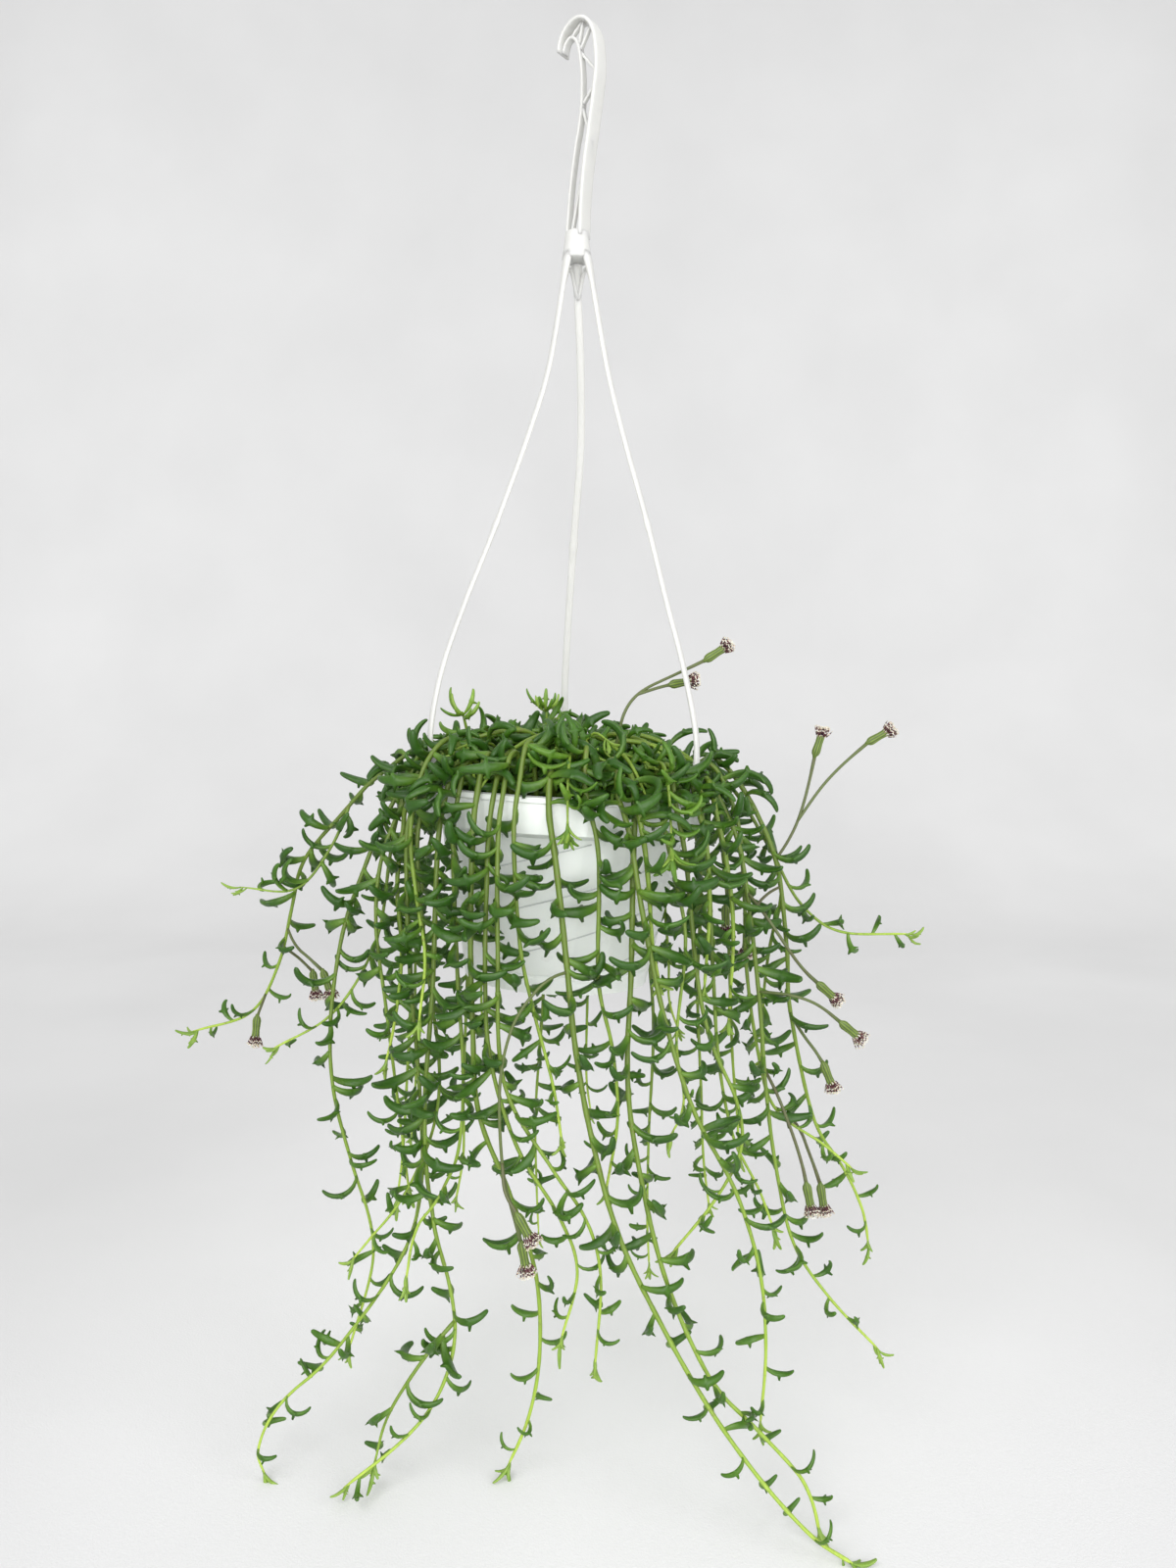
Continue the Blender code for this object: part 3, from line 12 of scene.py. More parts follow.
import bpy
import numpy as np
from mathutils import Matrix, Vector

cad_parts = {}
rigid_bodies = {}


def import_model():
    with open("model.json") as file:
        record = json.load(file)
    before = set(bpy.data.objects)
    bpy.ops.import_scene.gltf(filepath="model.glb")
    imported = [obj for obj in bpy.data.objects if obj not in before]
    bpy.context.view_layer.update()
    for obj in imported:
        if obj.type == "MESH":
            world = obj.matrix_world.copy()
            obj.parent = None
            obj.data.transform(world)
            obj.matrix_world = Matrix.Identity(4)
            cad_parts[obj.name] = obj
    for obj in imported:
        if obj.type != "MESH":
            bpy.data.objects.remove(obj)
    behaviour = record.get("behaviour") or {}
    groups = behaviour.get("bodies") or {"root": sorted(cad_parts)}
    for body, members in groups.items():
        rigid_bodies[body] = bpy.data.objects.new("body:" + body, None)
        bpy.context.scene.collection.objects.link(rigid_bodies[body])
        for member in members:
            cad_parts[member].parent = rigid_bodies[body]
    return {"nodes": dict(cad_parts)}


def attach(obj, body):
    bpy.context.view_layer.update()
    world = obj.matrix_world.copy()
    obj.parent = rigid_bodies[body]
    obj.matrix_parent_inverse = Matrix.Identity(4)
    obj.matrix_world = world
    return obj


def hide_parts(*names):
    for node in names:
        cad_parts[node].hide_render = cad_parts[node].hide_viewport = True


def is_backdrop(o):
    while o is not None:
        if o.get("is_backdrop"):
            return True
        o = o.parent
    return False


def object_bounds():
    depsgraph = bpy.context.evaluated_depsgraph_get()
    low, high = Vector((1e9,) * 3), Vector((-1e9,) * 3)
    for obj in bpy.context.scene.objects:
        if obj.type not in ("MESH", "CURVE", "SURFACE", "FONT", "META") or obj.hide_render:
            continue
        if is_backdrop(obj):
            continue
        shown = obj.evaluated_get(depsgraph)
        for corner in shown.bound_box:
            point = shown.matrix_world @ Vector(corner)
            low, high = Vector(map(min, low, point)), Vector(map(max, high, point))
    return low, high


# Camera, as the photograph was taken: metres from the hook's seat, degrees and millimetres
CAMERA_PLACE = (0.0089, -0.7074, -0.3995)
CAMERA_PITCH = -2.8
CAMERA_LENS = 27.05
CAMERA_SENSOR = 36.0

# Lights: name, place, what it faces, its sides in metres, and watts
WORLD_STRENGTH = 0.575
LIGHTS = (
    ("key", (-0.8, -1.6, 0.9), (0, 0, -0.5), (1.6, 1.2), 25),
    ("fill", (1.4, -1.0, 0.3), (0, 0, -0.45), (1.2, 1.2), 12),
    ("front", (0.1, -2.2, -0.3), (0, 0, -0.55), (1.8, 1.4), 35),
    ("wash", (0.0, 0.9, 1.6), (0, 1.6, -0.4), (2.4, 1.0), 5),
)

# The pale sweep, in metres
SWEEP_HALF = 2.4
SWEEP_WALL = 2.3
SWEEP_HEIGHT = 3.2
SWEEP_BEND = 0.9
SWEEP_STEPS = 12
SWEEP_GAP = 0.0005

# The rim's middle from the seat, and the pot, in millimetres
MM = 0.001
RIM_PLACE = (-4.6, -3.4, -437.0)
POT_TURN = Matrix.Rotation(math.radians(3), 3, "Y")
FLOOR = -359.0
POT_HEIGHT = 112.0
RIM_RADIUS = 86.0
BODY_TOP = -24.0
BODY_FOOT = -99.0
SOIL_TOP = -14.0
HOLE_FLOOR = -26.0
OUTSIDE_HEIGHTS = (-112.0, -103.4, -102.0, -101.0, -23.4, -20.6, -4.4, -3.4, -0.8, 0.0)
OUTSIDE_RADII = (54.5, 55.9, 55.1, 56.3, 72.6, 81.4, 84.6, 85.9, 86.0, 83.6)
RIDGES = 5
RIDGE_RISE = 26.0
RIDGE_RADIUS = 0.52
RIDGE_SUNK = 0.3

# Hanger. Its head's strips: thickness, width, and a line in the hook's plane, across and up
HOOK_PLANE_TURN = math.radians(-35)
HEAD_STRIPS = (
    (2.2, 11.0, (
        (7.0, -6.4), (6.6, -2.4), (4.4, 2.6), (0.0, 6.8), (-6.0, 8.9), (-11.6, 7.0), (-15.6, 2.2),
        (-18.4, -6.0), (-19.5, -20.0), (-18.4, -31.0), (-14.8, -53.0), (-11.0, -75.0), (-8.8, -96.0),
        (-8.0, -114.0))),
    (1.8, 5.0, (
        (5.4, -6.4), (4.6, -2.6), (1.6, 0.6), (0.0, 0.9), (-2.0, 0.0), (-4.6, -3.6), (-6.4, -11.0),
        (-7.6, -22.0), (-7.5, -38.0), (-5.8, -51.0), (-2.9, -64.0), (0.6, -86.0), (3.4, -114.0))),
    (1.6, 2.6, ((-7.4, 8.4), (0.4, 1.2))),
    (1.6, 2.6, ((-7.8, 8.4), (-4.8, -4.6))),
    (1.6, 2.6, ((-13.6, 5.0), (-6.0, -7.5))),
    (1.6, 2.6, ((-5.4, -8.0), (-18.8, -25.0))),
    (1.6, 2.6, ((-18.8, -27.0), (-7.5, -39.0))),
    (1.6, 2.6, ((-7.4, -40.5), (-13.6, -62.0))),
    (1.8, 2.8, ((-13.2, -62.0), (-6.0, -84.0), (1.0, -114.0))),
)
STRIP_SIDES = 12
BLOCK_MIDDLE = (7.0, 1.5)
BLOCK_RINGS = ((327, 5.2), (326.4, 6.3), (325, 6.9), (319, 7.6), (313, 8.5), (311, 8.8), (310.2, 8.2))
BLOCK_SIDES = 32
# A clip's line over the rim: out from the rim's edge, and up
CLIP_LINE = ((-7.0, -6.0), (-6.8, 0.0), (-5.4, 4.0), (-1.6, 5.6), (1.4, 3.4), (2.0, -2.0), (2.1, -7.0))
LEG_RADIUS = 1.5
LEG_WIDTH = 4.8
LEG_THICKNESS = 2.7
NUB_RADIUS = 2.4
NUB_HEIGHT = 152.0
BRACE_HEIGHT = 292.0
BRACE_RISE = 16
# Legs, left, right and rear: where the foot stands on the rim, and the route down to it
LEGS = (
    (-60.0, (
        (2, -2, 314), (0, -4, 302), (-9, -9, 247), (-20, -16, 208), (-40, -26, 150), (-56, -33, 108),
        (-69, -38, 69), (-75, -42, 34))),
    (60.0, (
        (12, -2, 314), (15, -4, 302), (25, -9, 244), (35, -16, 201), (47, -25, 155), (58, -33, 108),
        (67, -38, 72), (74, -42, 34))),
    (180.0, (
        (7, 7, 314), (7, 9, 302), (9, 21, 256), (9, 38, 210), (5, 55, 163), (1, 70, 111), (-2, 81, 60),
        (-1, 85, 32))),
)

# Leaves, in millimetres
LEAF_LENGTH = 27.5
LEAF_HALF_WIDTH = 2.75
LEAF_INNER = 1.8
LEAF_KEEL = 2.5
FIN_LENGTH = 3.6
GOLDEN_TURN = math.radians(137.5)
LEAF_SPACING = 15.2
LEAVES_PER_SOLID_LEAF = 3
EXTRA_LEAVES = 0.5
EXTRA_BEHIND = 1.8
BARE_TIP = 9.0
LEAF_START = math.radians(-44)
LEAF_YOUTH = 0.42
LEAF_STEPS = 32
LEAF_SIDES = 8
# Rings of a leaf: the step out of LEAF_STEPS, how wide and deep it is, and the fins' share
LEAF_RINGS = (
    (0, 0.50, 0), (3, 0.56, 0), (7, 0.74, 0), (11, 0.90, 0), (14, 0.98, 0), (15.2, 1.0, 0.08),
    (16.2, 1.02, 0.94), (17.4, 1.02, 1.0), (18.2, 1.0, 0.10), (20, 0.97, 0), (23, 0.88, 0),
    (26, 0.78, 0), (28.5, 0.68, 0), (30.4, 0.55, 0), (31.5, 0.36, 0),
)
# A leaf that may roll further than FLAT_ROLL lies flatter as well
FLAT_ROLL = 2.0
FLATTER = 0.35
# Leaves without a solid: how they roll above and below a height, and how close they come
ROLL_HEIGHT = -12
ROLL_ABOVE = 2.9
ROLL_BELOW = 1.35
LOOSE_CLEARANCE = 0.1
TIGHT_CLEARANCE = -0.8
# The turns about its stem that a leaf tries, in order
SOLID_TURNS = (0.0, 0.6, -0.6, 1.2, -1.2)
BETWEEN_TURNS = (0.0, 0.7, -0.7, 1.4, -1.4, 2.2, -2.2, 3.1)
CROWN_TURNS = (0.0, 0.8, -0.8, 1.7, -1.7, 2.5)
MOUND_TURNS = (0.0, 1.0, 2.0, 3.0, 4.0, 5.0)

# Flower heads. A cup's rings: how far along it, and how wide
STALK_RADIUS = 0.9
CUP_LENGTH = 12.0
TUFT_LENGTH = 6.3
HEAD_LENGTH = CUP_LENGTH + TUFT_LENGTH
HEAD_RADIUS = 4.6
CUP_RINGS = (
    (-1.6, 0.95), (-0.4, 1.3), (0.8, 2.0), (2.4, 2.35), (5.0, 2.2), (8.0, 2.0), (10.6, 2.1), (12.0, 2.35),
)
CUP_SIDES = 32
CUP_RIBS = 8
FLORETS = 34

# Stems by side: the arch over the rim, the radius, and the route from just outside the rim
STEMS = {
    "left": (
        (24, 1.48, (
            (-118, 12, 4), (-133, 13, -12), (-160, 14, -44), (-169, 16, -76), (-178, 18, -110),
            (-196, 20, -140), (-234, 24, -153))),
        (16, 1.4, (
            (-104, -18, -14), (-116, -26, -45), (-128, -30, -82), (-134, -36, -130), (-132, -40, -170),
            (-122, -42, -210), (-111, -44, -245), (-110, -46, -272), (-123, -50, -318))),
        (20, 1.25, (
            (-95, -24, -8), (-101, -24, -36), (-109, -27, -86), (-133, -31, -127), (-168, -34, -148))),
        (14, 1.4, (
            (-94, -39, -12), (-103, -46, -40), (-105, -50, -75), (-100, -52, -115), (-94, -53, -165),
            (-87, -55, -222))),
        (22, 1.4, (
            (-84, -55, -10), (-86, -61, -30), (-84, -67, -90), (-78, -73, -160), (-77, -77, -212),
            (-88, -82, -250), (-123, -92, -297), (-149, -98, -320), (-160, -102, -342),
            (-155, -105, -356))),
        (12, 1.33, (
            (-80, -53, -16), (-80, -57, -48), (-74, -62, -101), (-68, -66, -150), (-72, -69, -185),
            (-88, -72, -220), (-104, -74, -240), (-116, -76, -254))),
    ),
    "front": (
        (28, 1.56, ((-76, -64, 14), (-82, -72, -18), (-78, -78, -55), (-73, -84, -85), (-76, -87, -119))),
        (14, 1.56, (
            (-66, -68, -12), (-68, -73, -40), (-70, -76, -100), (-74, -82, -170), (-70, -87, -222),
            (-59, -94, -262), (-57, -100, -288), (-66, -107, -313), (-83, -114, -331), (-111, -122, -350))),
        (18, 1.4, (
            (-58, -75, -12), (-58, -80, -40), (-56, -82, -95), (-53, -84, -150), (-56, -86, -190),
            (-66, -88, -212), (-78, -91, -230), (-83, -94, -256))),
        (20, 1.72, (
            (-46, -82, -4), (-47, -89, -22), (-48, -92, -70), (-47, -93, -117), (-44, -94, -165),
            (-28, -96, -207), (-14, -98, -250), (-12, -100, -293), (-18, -102, -326), (-29, -104, -351))),
        (12, 1.48, (
            (-38, -88, -12), (-39, -95, -40), (-40, -97, -95), (-37, -99, -137), (-23, -103, -181),
            (-2, -106, -215), (8, -108, -244), (-1, -110, -281))),
        (24, 1.4, (
            (-31, -88, 2), (-33, -97, -20), (-33, -102, -75), (-30, -105, -145), (-6, -109, -188),
            (12, -112, -214), (20, -114, -244), (17, -116, -290))),
        (30, 1.48, (
            (-22, -90, 10), (-25, -95, -18), (-22, -97, -74), (-15, -99, -109), (-5, -101, -147),
            (0, -103, -178))),
        (14, 1.79, (
            (-7, -90, -6), (-3, -96, -35), (3, -101, -90), (7, -104, -128), (15, -108, -172),
            (29, -116, -221), (52, -126, -266), (76, -138, -303), (100, -150, -331), (122, -160, -350),
            (138, -168, -356))),
        (26, 1.48, (
            (12, -88, 4), (19, -92, -30), (19, -95, -95), (26, -97, -129), (29, -98, -167),
            (23, -99, -204))),
        (22, 1.56, (
            (29, -88, 2), (35, -96, -18), (42, -102, -61), (53, -105, -113), (68, -109, -160),
            (89, -113, -200), (101, -117, -240), (104, -119, -280), (101, -121, -319))),
        (16, 1.72, (
            (38, -84, -8), (37, -91, -40), (36, -96, -90), (34, -101, -143), (39, -106, -186),
            (53, -115, -244), (75, -127, -290), (99, -135, -313), (120, -143, -334), (126, -149, -354))),
        (12, 1.25, (
            (53, -77, -12), (60, -83, -45), (65, -87, -76), (60, -92, -128), (64, -94, -160),
            (56, -96, -178))),
        (21, 1.48, (
            (61, -70, -6), (66, -77, -35), (72, -81, -98), (80, -84, -133), (92, -86, -160),
            (95, -88, -186), (81, -91, -213), (58, -95, -240))),
    ),
    "right": (
        (12, 1.4, (
            (77, -54, -14), (80, -59, -45), (82, -64, -95), (85, -68, -145), (93, -71, -187),
            (106, -74, -213), (115, -76, -237))),
        (14, 1.48, (
            (90, -36, -8), (100, -41, -35), (109, -46, -105), (114, -50, -169), (119, -55, -210),
            (128, -61, -250), (147, -67, -278), (173, -74, -304))),
        (22, 1.4, (
            (93, -26, 2), (100, -30, -20), (103, -34, -60), (104, -37, -100), (110, -39, -145),
            (120, -41, -180), (147, -43, -200), (164, -45, -214))),
        (24, 1.64, (
            (98, -12, 10), (112, -12, -12), (125, -13, -45), (131, -14, -95), (133, -15, -130),
            (147, -17, -194), (165, -19, -224), (176, -21, -249), (179, -23, -269))),
        (16, 1.33, ((99, 6, 2), (112, 8, -16), (127, 9, -42), (142, 9, -69), (166, 8, -87), (209, 4, -88))),
    ),
}

# Side shoots: the stem each grows from, its radius and its route
BRANCHES = (
    ("stem_left_01", 1.01, ((-131, 13, -10), (-143, 3, -38), (-162, -3, -60), (-194, -6, -58))),
    ("stem_front_02", 1.17, ((-58, -97, -277), (-72, -104, -292), (-90, -110, -319), (-97, -115, -344))),
    ("stem_right_04", 1.17, ((130, -14, -62), (125, -6, -80), (120, -2, -115), (118, 0, -164))),
)

# Short stems without a solid, which leave a longer one at the rim
SHORT_STEMS = (
    ("stem_left_05", 1.5, (
        (-84, -54, 4), (-89, -47, -14), (-93, -50, -50), (-90, -55, -90), (-94, -58, -128),
        (-99, -60, -150))),
    ("stem_right_01", 1.6, ((74, -52, 8), (72, -62, -4), (77, -68, -22), (79, -73, -60), (76, -76, -105))),
    ("stem_right_02", 1.6, ((84, -36, 8), (84, -46, -6), (90, -52, -35), (94, -56, -75), (91, -60, -128))),
    ("stem_front_11", 1.6, ((36, -82, 8), (40, -92, -10), (42, -97, -34), (46, -99, -74), (50, -99, -94))),
)

# Flower stalks: what each grows from, and its route to the tip of its head
STALKS = (
    ("crown", (
        (18, -26, 2), (28, -40, 22), (33, -46, 43), (42, -40, 56), (61, -33, 66), (80, -31, 75),
        (94, -30, 84))),
    ("crown", ((42, -40, 56), (52, -37, 59), (64, -31, 62), (75, -26, 64))),
    ("stem_right_04", (
        (124, -13, -43), (131, -8, -32), (139, -3, -18), (146, 0, 5), (149, 0, 20), (154, 0, 36))),
    ("stem_right_04", ((139, -3, -18), (149, -2, -4), (160, 0, 9), (181, 0, 28), (195, 0, 36))),
    ("stem_right_03", ((102, -33, -45), (96, -23, -52), (94, -20, -65), (94, -19, -84))),
    ("stem_right_04", ((127, -13, -55), (114, -22, -64), (107, -24, -76), (105, -24, -96))),
    ("stem_right_02", (
        (103, -42, -55), (114, -52, -70), (132, -50, -96), (144, -46, -108), (155, -43, -118))),
    ("stem_right_02", (
        (110, -47, -112), (128, -56, -112), (146, -55, -120), (155, -53, -128), (167, -50, -138))),
    ("stem_right_04", ((133, -15, -135), (142, -26, -146), (150, -29, -158), (156, -30, -173))),
    ("stem_right_03", (
        (112, -40, -155), (121, -52, -172), (131, -58, -200), (135, -60, -217), (138, -62, -233))),
    ("stem_right_03", (
        (119, -41, -180), (133, -35, -190), (143, -38, -214), (147, -40, -226), (149, -42, -241))),
    ("stem_front_08", (
        (3, -101, -90), (-7, -108, -92), (-23, -112, -111), (-31, -114, -142), (-30, -115, -186),
        (-24, -113, -214), (-21, -112, -226), (-18, -111, -243))),
    ("stem_front_08", ((-30, -115, -186), (-28, -121, -198), (-21, -124, -209), (-14, -124, -222))),
    ("stem_left_01", ((-172, 17, -88), (-163, 8, -98), (-153, 2, -104), (-145, 0, -112), (-141, 0, -126))),
    ("stem_left_01", (
        (-175, 18, -100), (-168, 24, -106), (-161, 28, -112), (-158, 29, -122), (-157, 29, -133))),
    ("stem_left_01", ((-188, 19, -128), (-188, 11, -134), (-189, 8, -142), (-190, 7, -156))),
)

# Stems of the back and sides, which no picture shows
BACK_AZIMUTHS = (104, 121, 138, 154, 171, 189, 206, 222, 239, 256)

# Seeds of the random draws
BACK_SEED = 41
CROWN_SEED = 7
TUFT_SEED = 500
EXTRA_SEED = 700
BUILD_SEED = 900

# Crown
CROWN_SHOOTS = 34
CROWN_LEAVES = 420
CROWN_RADIUS = 92

# The stretch of collar that shows, and how far forward a leaf is before it
COLLAR_SIDES = (-58, 2)
COLLAR_HEIGHTS = (-20, 9)
COLLAR_FRONT = -66

# Bare stems over the crown: azimuth, swing aside, and the radii they span
ARCH_RADIUS = 1.5
ARCHES = (
    (-62, -26, 18, 92), (-30, -40, 26, 90), (-8, -22, 34, 91), (16, 14, 30, 92), (38, 24, 22, 93),
    (64, 20, 16, 92), (24, 62, 40, 88), (-80, 50, 44, 90), (110, 20, 20, 90), (-130, 24, 24, 90),
    (160, 20, 20, 90),
)

# Bright young shoots over the collar and the crown: radius and route
YOUNG_SHOOTS = (
    (1.1, ((6, -60, 20), (4, -84, 22), (3, -94, 4), (3, -98, -15))),
    (1.1, ((50, -60, 18), (54, -80, 16), (56, -90, 0), (57, -95, -28))),
    (1.2, ((-6, -8, 14), (-10, -12, 34), (-11, -15, 50))),
    (1.2, ((-52, -24, 20), (-56, -28, 36), (-58, -32, 46))),
)

# How shoots are laid out
ROOT_CIRCLES = (65.5, 57.0)
ROOTS_APART = 6.2
ROOT_ROUNDS = 200
SAMPLE = 4.0
STEM_STEP = 2.6
SETTLE_ROUNDS = 60
SETTLE_GAP = 3.0
SETTLE_PUSH = 0.55
SETTLE_ROWS = 400
POT_GAP = 1.9
CLEARANCE = 0.7
GROUP = 12
GROUP_REACH = 46.0
TINY = 1e-6

# Surfaces of a plant piece, and of a tuft
LEAF_SLOT, STEM_SLOT, STALK_SLOT = range(3)
CREAM_SLOT, DARK_SLOT = range(2)


def to_world(places):
    """Metres from the hook's seat, of places in millimetres from the middle of the rim."""
    return (np.asarray(places, float) + RIM_PLACE) * MM


def on_pot(radius, azimuth, height):
    """A place on the tilted pot. The azimuth is in degrees, from the front to the right."""
    angle = math.radians(azimuth)
    return POT_TURN @ Vector((radius * math.sin(angle), -radius * math.cos(angle), height))


def across_way(azimuth):
    """The level way to the right of one who looks in at the pot from an azimuth."""
    angle = math.radians(azimuth)
    return np.array((math.cos(angle), math.sin(angle), 0.0))


def azimuth_of(place):
    return math.degrees(math.atan2(place[0], -place[1]))


def smooth_line(places, step):
    """Places an even step apart along a smooth curve through the given ones."""
    ends = [np.array(place, float) for place in places]
    ends = [2 * ends[0] - ends[1], *ends, 2 * ends[-1] - ends[-2]]
    dense = []
    for before, first, second, after in zip(ends, ends[1:], ends[2:], ends[3:]):
        pieces = max(2, int(np.linalg.norm(second - first)))
        for t in (number / pieces for number in range(pieces)):
            square = (2 * before - 5 * first + 4 * second - after) * t**2
            cube = (3 * first - before - 3 * second + after) * t**3
            dense.append(0.5 * (2 * first + (second - before) * t + square + cube))
    dense = np.array([*dense, ends[-2]])
    along = np.concatenate([[0], np.cumsum(np.linalg.norm(np.diff(dense, axis=0), axis=1))])
    wanted = np.linspace(0, along[-1], max(3, int(along[-1] / step) + 1))
    return np.stack([np.interp(wanted, along, dense[:, axis]) for axis in range(3)], axis=1)


def back_routes():
    """Stems behind the pot and at its sides: name, arch, radius and route."""
    draw = random.Random(BACK_SEED)
    for number, azimuth in enumerate(BACK_AZIMUTHS, start=1):
        length = draw.uniform(150, 330)
        sway = draw.uniform(-14, 14)
        out = draw.uniform(3, 14)
        side = across_way(azimuth)
        heading = np.array((side[1], -side[0], 0.0))
        route = [heading * (RIM_RADIUS + 7) + (0, 0, draw.uniform(-14, 2))]
        for share in (0.2, 0.45, 0.7, 0.88, 1.0):
            wander = sway * math.sin(2.6 * share) + draw.uniform(-3, 3)
            reach = RIM_RADIUS + 12 + out * math.sin(math.pi * min(share, 0.8)) + 26 * max(0, share - 0.6)
            route.append(heading * reach + side * wander + (0, 0, -12 - length * share))
        yield f"stem_back_{number:02d}", draw.uniform(10, 24), draw.uniform(1.25, 1.55), route


def place_roots(wanted):
    """Each root's azimuth and circle, turned apart around the soil."""
    order = sorted(range(len(wanted)), key=lambda number: wanted[number] % 360)
    angles = [wanted[number] % 360 for number in order]
    for _ in range(ROOT_ROUNDS):
        for place in range(len(angles)):
            after = (place + 1) % len(angles)
            room = (angles[after] - angles[place]) % 360
            if room > 180:
                room -= 360
            if room < ROOTS_APART:
                push = (ROOTS_APART - room) / 2
                angles[place] -= push
                angles[after] += push
    return {number: (angles[place], ROOT_CIRCLES[place % 2]) for place, number in enumerate(order)}


def new_shoot(node, kind, radius, route, held=1):
    """A stem, branch or stalk. Its first places, as many as held, stay where they are."""
    line = smooth_line(route, SAMPLE)
    return SimpleNamespace(node=node, kind=kind, radius=radius, line=line, held=held, tip=None)


def all_shoots():
    """Every stem, side shoot and stalk that has a solid."""
    stems = []
    for side, group in STEMS.items():
        stems.extend((f"stem_{side}_{number:02d}", *stem) for number, stem in enumerate(group, start=1))
    stems.extend(back_routes())
    roots = place_roots([azimuth_of(route[0]) for *_, route in stems])
    shoots = []
    for number, (name, arch, radius, route) in enumerate(stems):
        angle, circle = roots[number]
        lean = (azimuth_of(route[0]) - angle + 180) % 360 - 180
        start = (
            on_pot(circle, angle, SOIL_TOP + 1.5),
            on_pot(circle + 2.0, angle + 0.15 * lean, -3.0),
            on_pot(RIM_RADIUS - 7, angle + 0.55 * lean, arch * 0.86),
            on_pot(RIM_RADIUS, angle + 0.8 * lean, arch),
        )
        shoot = new_shoot(name, "stem", radius, [*start, *route], held=5)
        shoot.line = np.concatenate([[on_pot(circle, angle, HOLE_FLOOR + 1.0)], shoot.line])
        shoots.append(shoot)
    shoots.extend(new_shoot(name, "branch", radius, route) for name, radius, route in BRANCHES)
    shoots.extend(new_shoot(name, "stalk", STALK_RADIUS, route) for name, route in STALKS)
    return shoots


def taper(share):
    """How thick a shoot still is at a share of its length."""
    return 1 - 0.5 * share**1.4


def radii_along(shoot):
    """A shoot's radius at each of its places. A head still on its line is wider."""
    share = np.linspace(0, 1, len(shoot.line))
    if shoot.kind != "stalk":
        return shoot.radius * taper(share)
    radii = np.full(len(share), shoot.radius)
    length = SAMPLE * (len(share) - 1)
    if shoot.tip is None:
        radii[share * length > length - HEAD_LENGTH] = HEAD_RADIUS
    return radii


def pot_outside(height):
    """The pot's outer radius at a height, or -1 above and below it."""
    return np.interp(height, OUTSIDE_HEIGHTS, OUTSIDE_RADII, left=-1.0, right=-1.0)


def from_pot(places):
    """Places in the tilted pot's frame, how far out they are, and the wall's radius there."""
    local = places @ np.array(POT_TURN)
    around = np.hypot(local[:, 0], local[:, 1])
    return local, around, pot_outside(np.minimum(local[:, 2], -0.01))


def keep_off_pot(places, radii):
    """Moves places outside the rim away from the pot's wall, and off the floor."""
    local, around, wall = from_pot(places)
    need = wall + radii + POT_GAP
    short = (around > RIM_RADIUS - 4.0) & (local[:, 2] < 0.5 + radii) & (around < need)
    local[:, :2] *= np.where(short, need / np.maximum(around, TINY), 1.0)[:, None]
    over = (np.abs(around - RIM_RADIUS + 2) < 5.0) & (local[:, 2] > -2.0)
    low = over & (local[:, 2] < radii + POT_GAP)
    local[low, 2] = (radii + POT_GAP)[low]
    moved = local @ np.array(POT_TURN).T
    moved[:, 2] = np.maximum(moved[:, 2], FLOOR + radii + 0.3)
    return moved


def settle(shoots, fixed):
    """Bends shoots of different nodes clear of each other, of fixed lines and of the pot."""
    names = sorted({shoot.node for shoot in shoots})
    lines = [shoot.line for shoot in shoots] + fixed
    counts = [len(line) for line in lines]
    places = np.concatenate(lines)
    fixed_radii = [np.full(len(line), NUB_RADIUS + 0.2) for line in fixed]
    radii = np.concatenate([radii_along(shoot) for shoot in shoots] + fixed_radii)
    owners = [names.index(shoot.node) for shoot in shoots]
    owner = np.repeat(owners + [len(names) + number for number in range(len(fixed))], counts)
    free = [np.arange(len(shoot.line)) >= shoot.held for shoot in shoots]
    free = np.concatenate(free + [np.zeros(len(line), bool) for line in fixed])
    first = np.cumsum([0] + counts[: len(shoots)])
    for _ in range(SETTLE_ROUNDS):
        push = np.zeros_like(places)
        for low in range(0, first[-1], SETTLE_ROWS):
            part = slice(low, min(low + SETTLE_ROWS, first[-1]))
            apart = places[part, None, :] - places[None, :, :]
            distance = np.linalg.norm(apart, axis=2)
            distance[owner[part, None] == owner[None, :]] = 1e6
            short = radii[part, None] + radii[None, :] + SETTLE_GAP - distance
            worst = np.argmax(short, axis=1)
            rows = np.arange(len(worst))
            amount = np.maximum(short[rows, worst], 0)
            way = apart[rows, worst] / np.maximum(distance[rows, worst], TINY)[:, None]
            push[part] = way * (SETTLE_PUSH * amount)[:, None]
        push[~free] = 0
        for start, end in zip(first, first[1:]):
            push[start:end] = spread_push(push[start:end], free[start:end])
        places = places + push
        places[free] = keep_off_pot(places[free], radii[free])
    for shoot, start, end in zip(shoots, first, first[1:]):
        shoot.line = places[start:end]


def spread_push(run, free):
    """Spreads a strong push to the places beside it, so that the line doesn't kink."""
    for _ in range(2):
        padded = np.concatenate([run[:1], run, run[-1:]])
        blurred = (padded[:-2] + padded[1:-1] + padded[2:]) / 3
        strong = np.linalg.norm(run, axis=1) > np.linalg.norm(blurred, axis=1)
        run = np.where(strong[:, None], run, blurred)
    run[~free] = 0
    return run


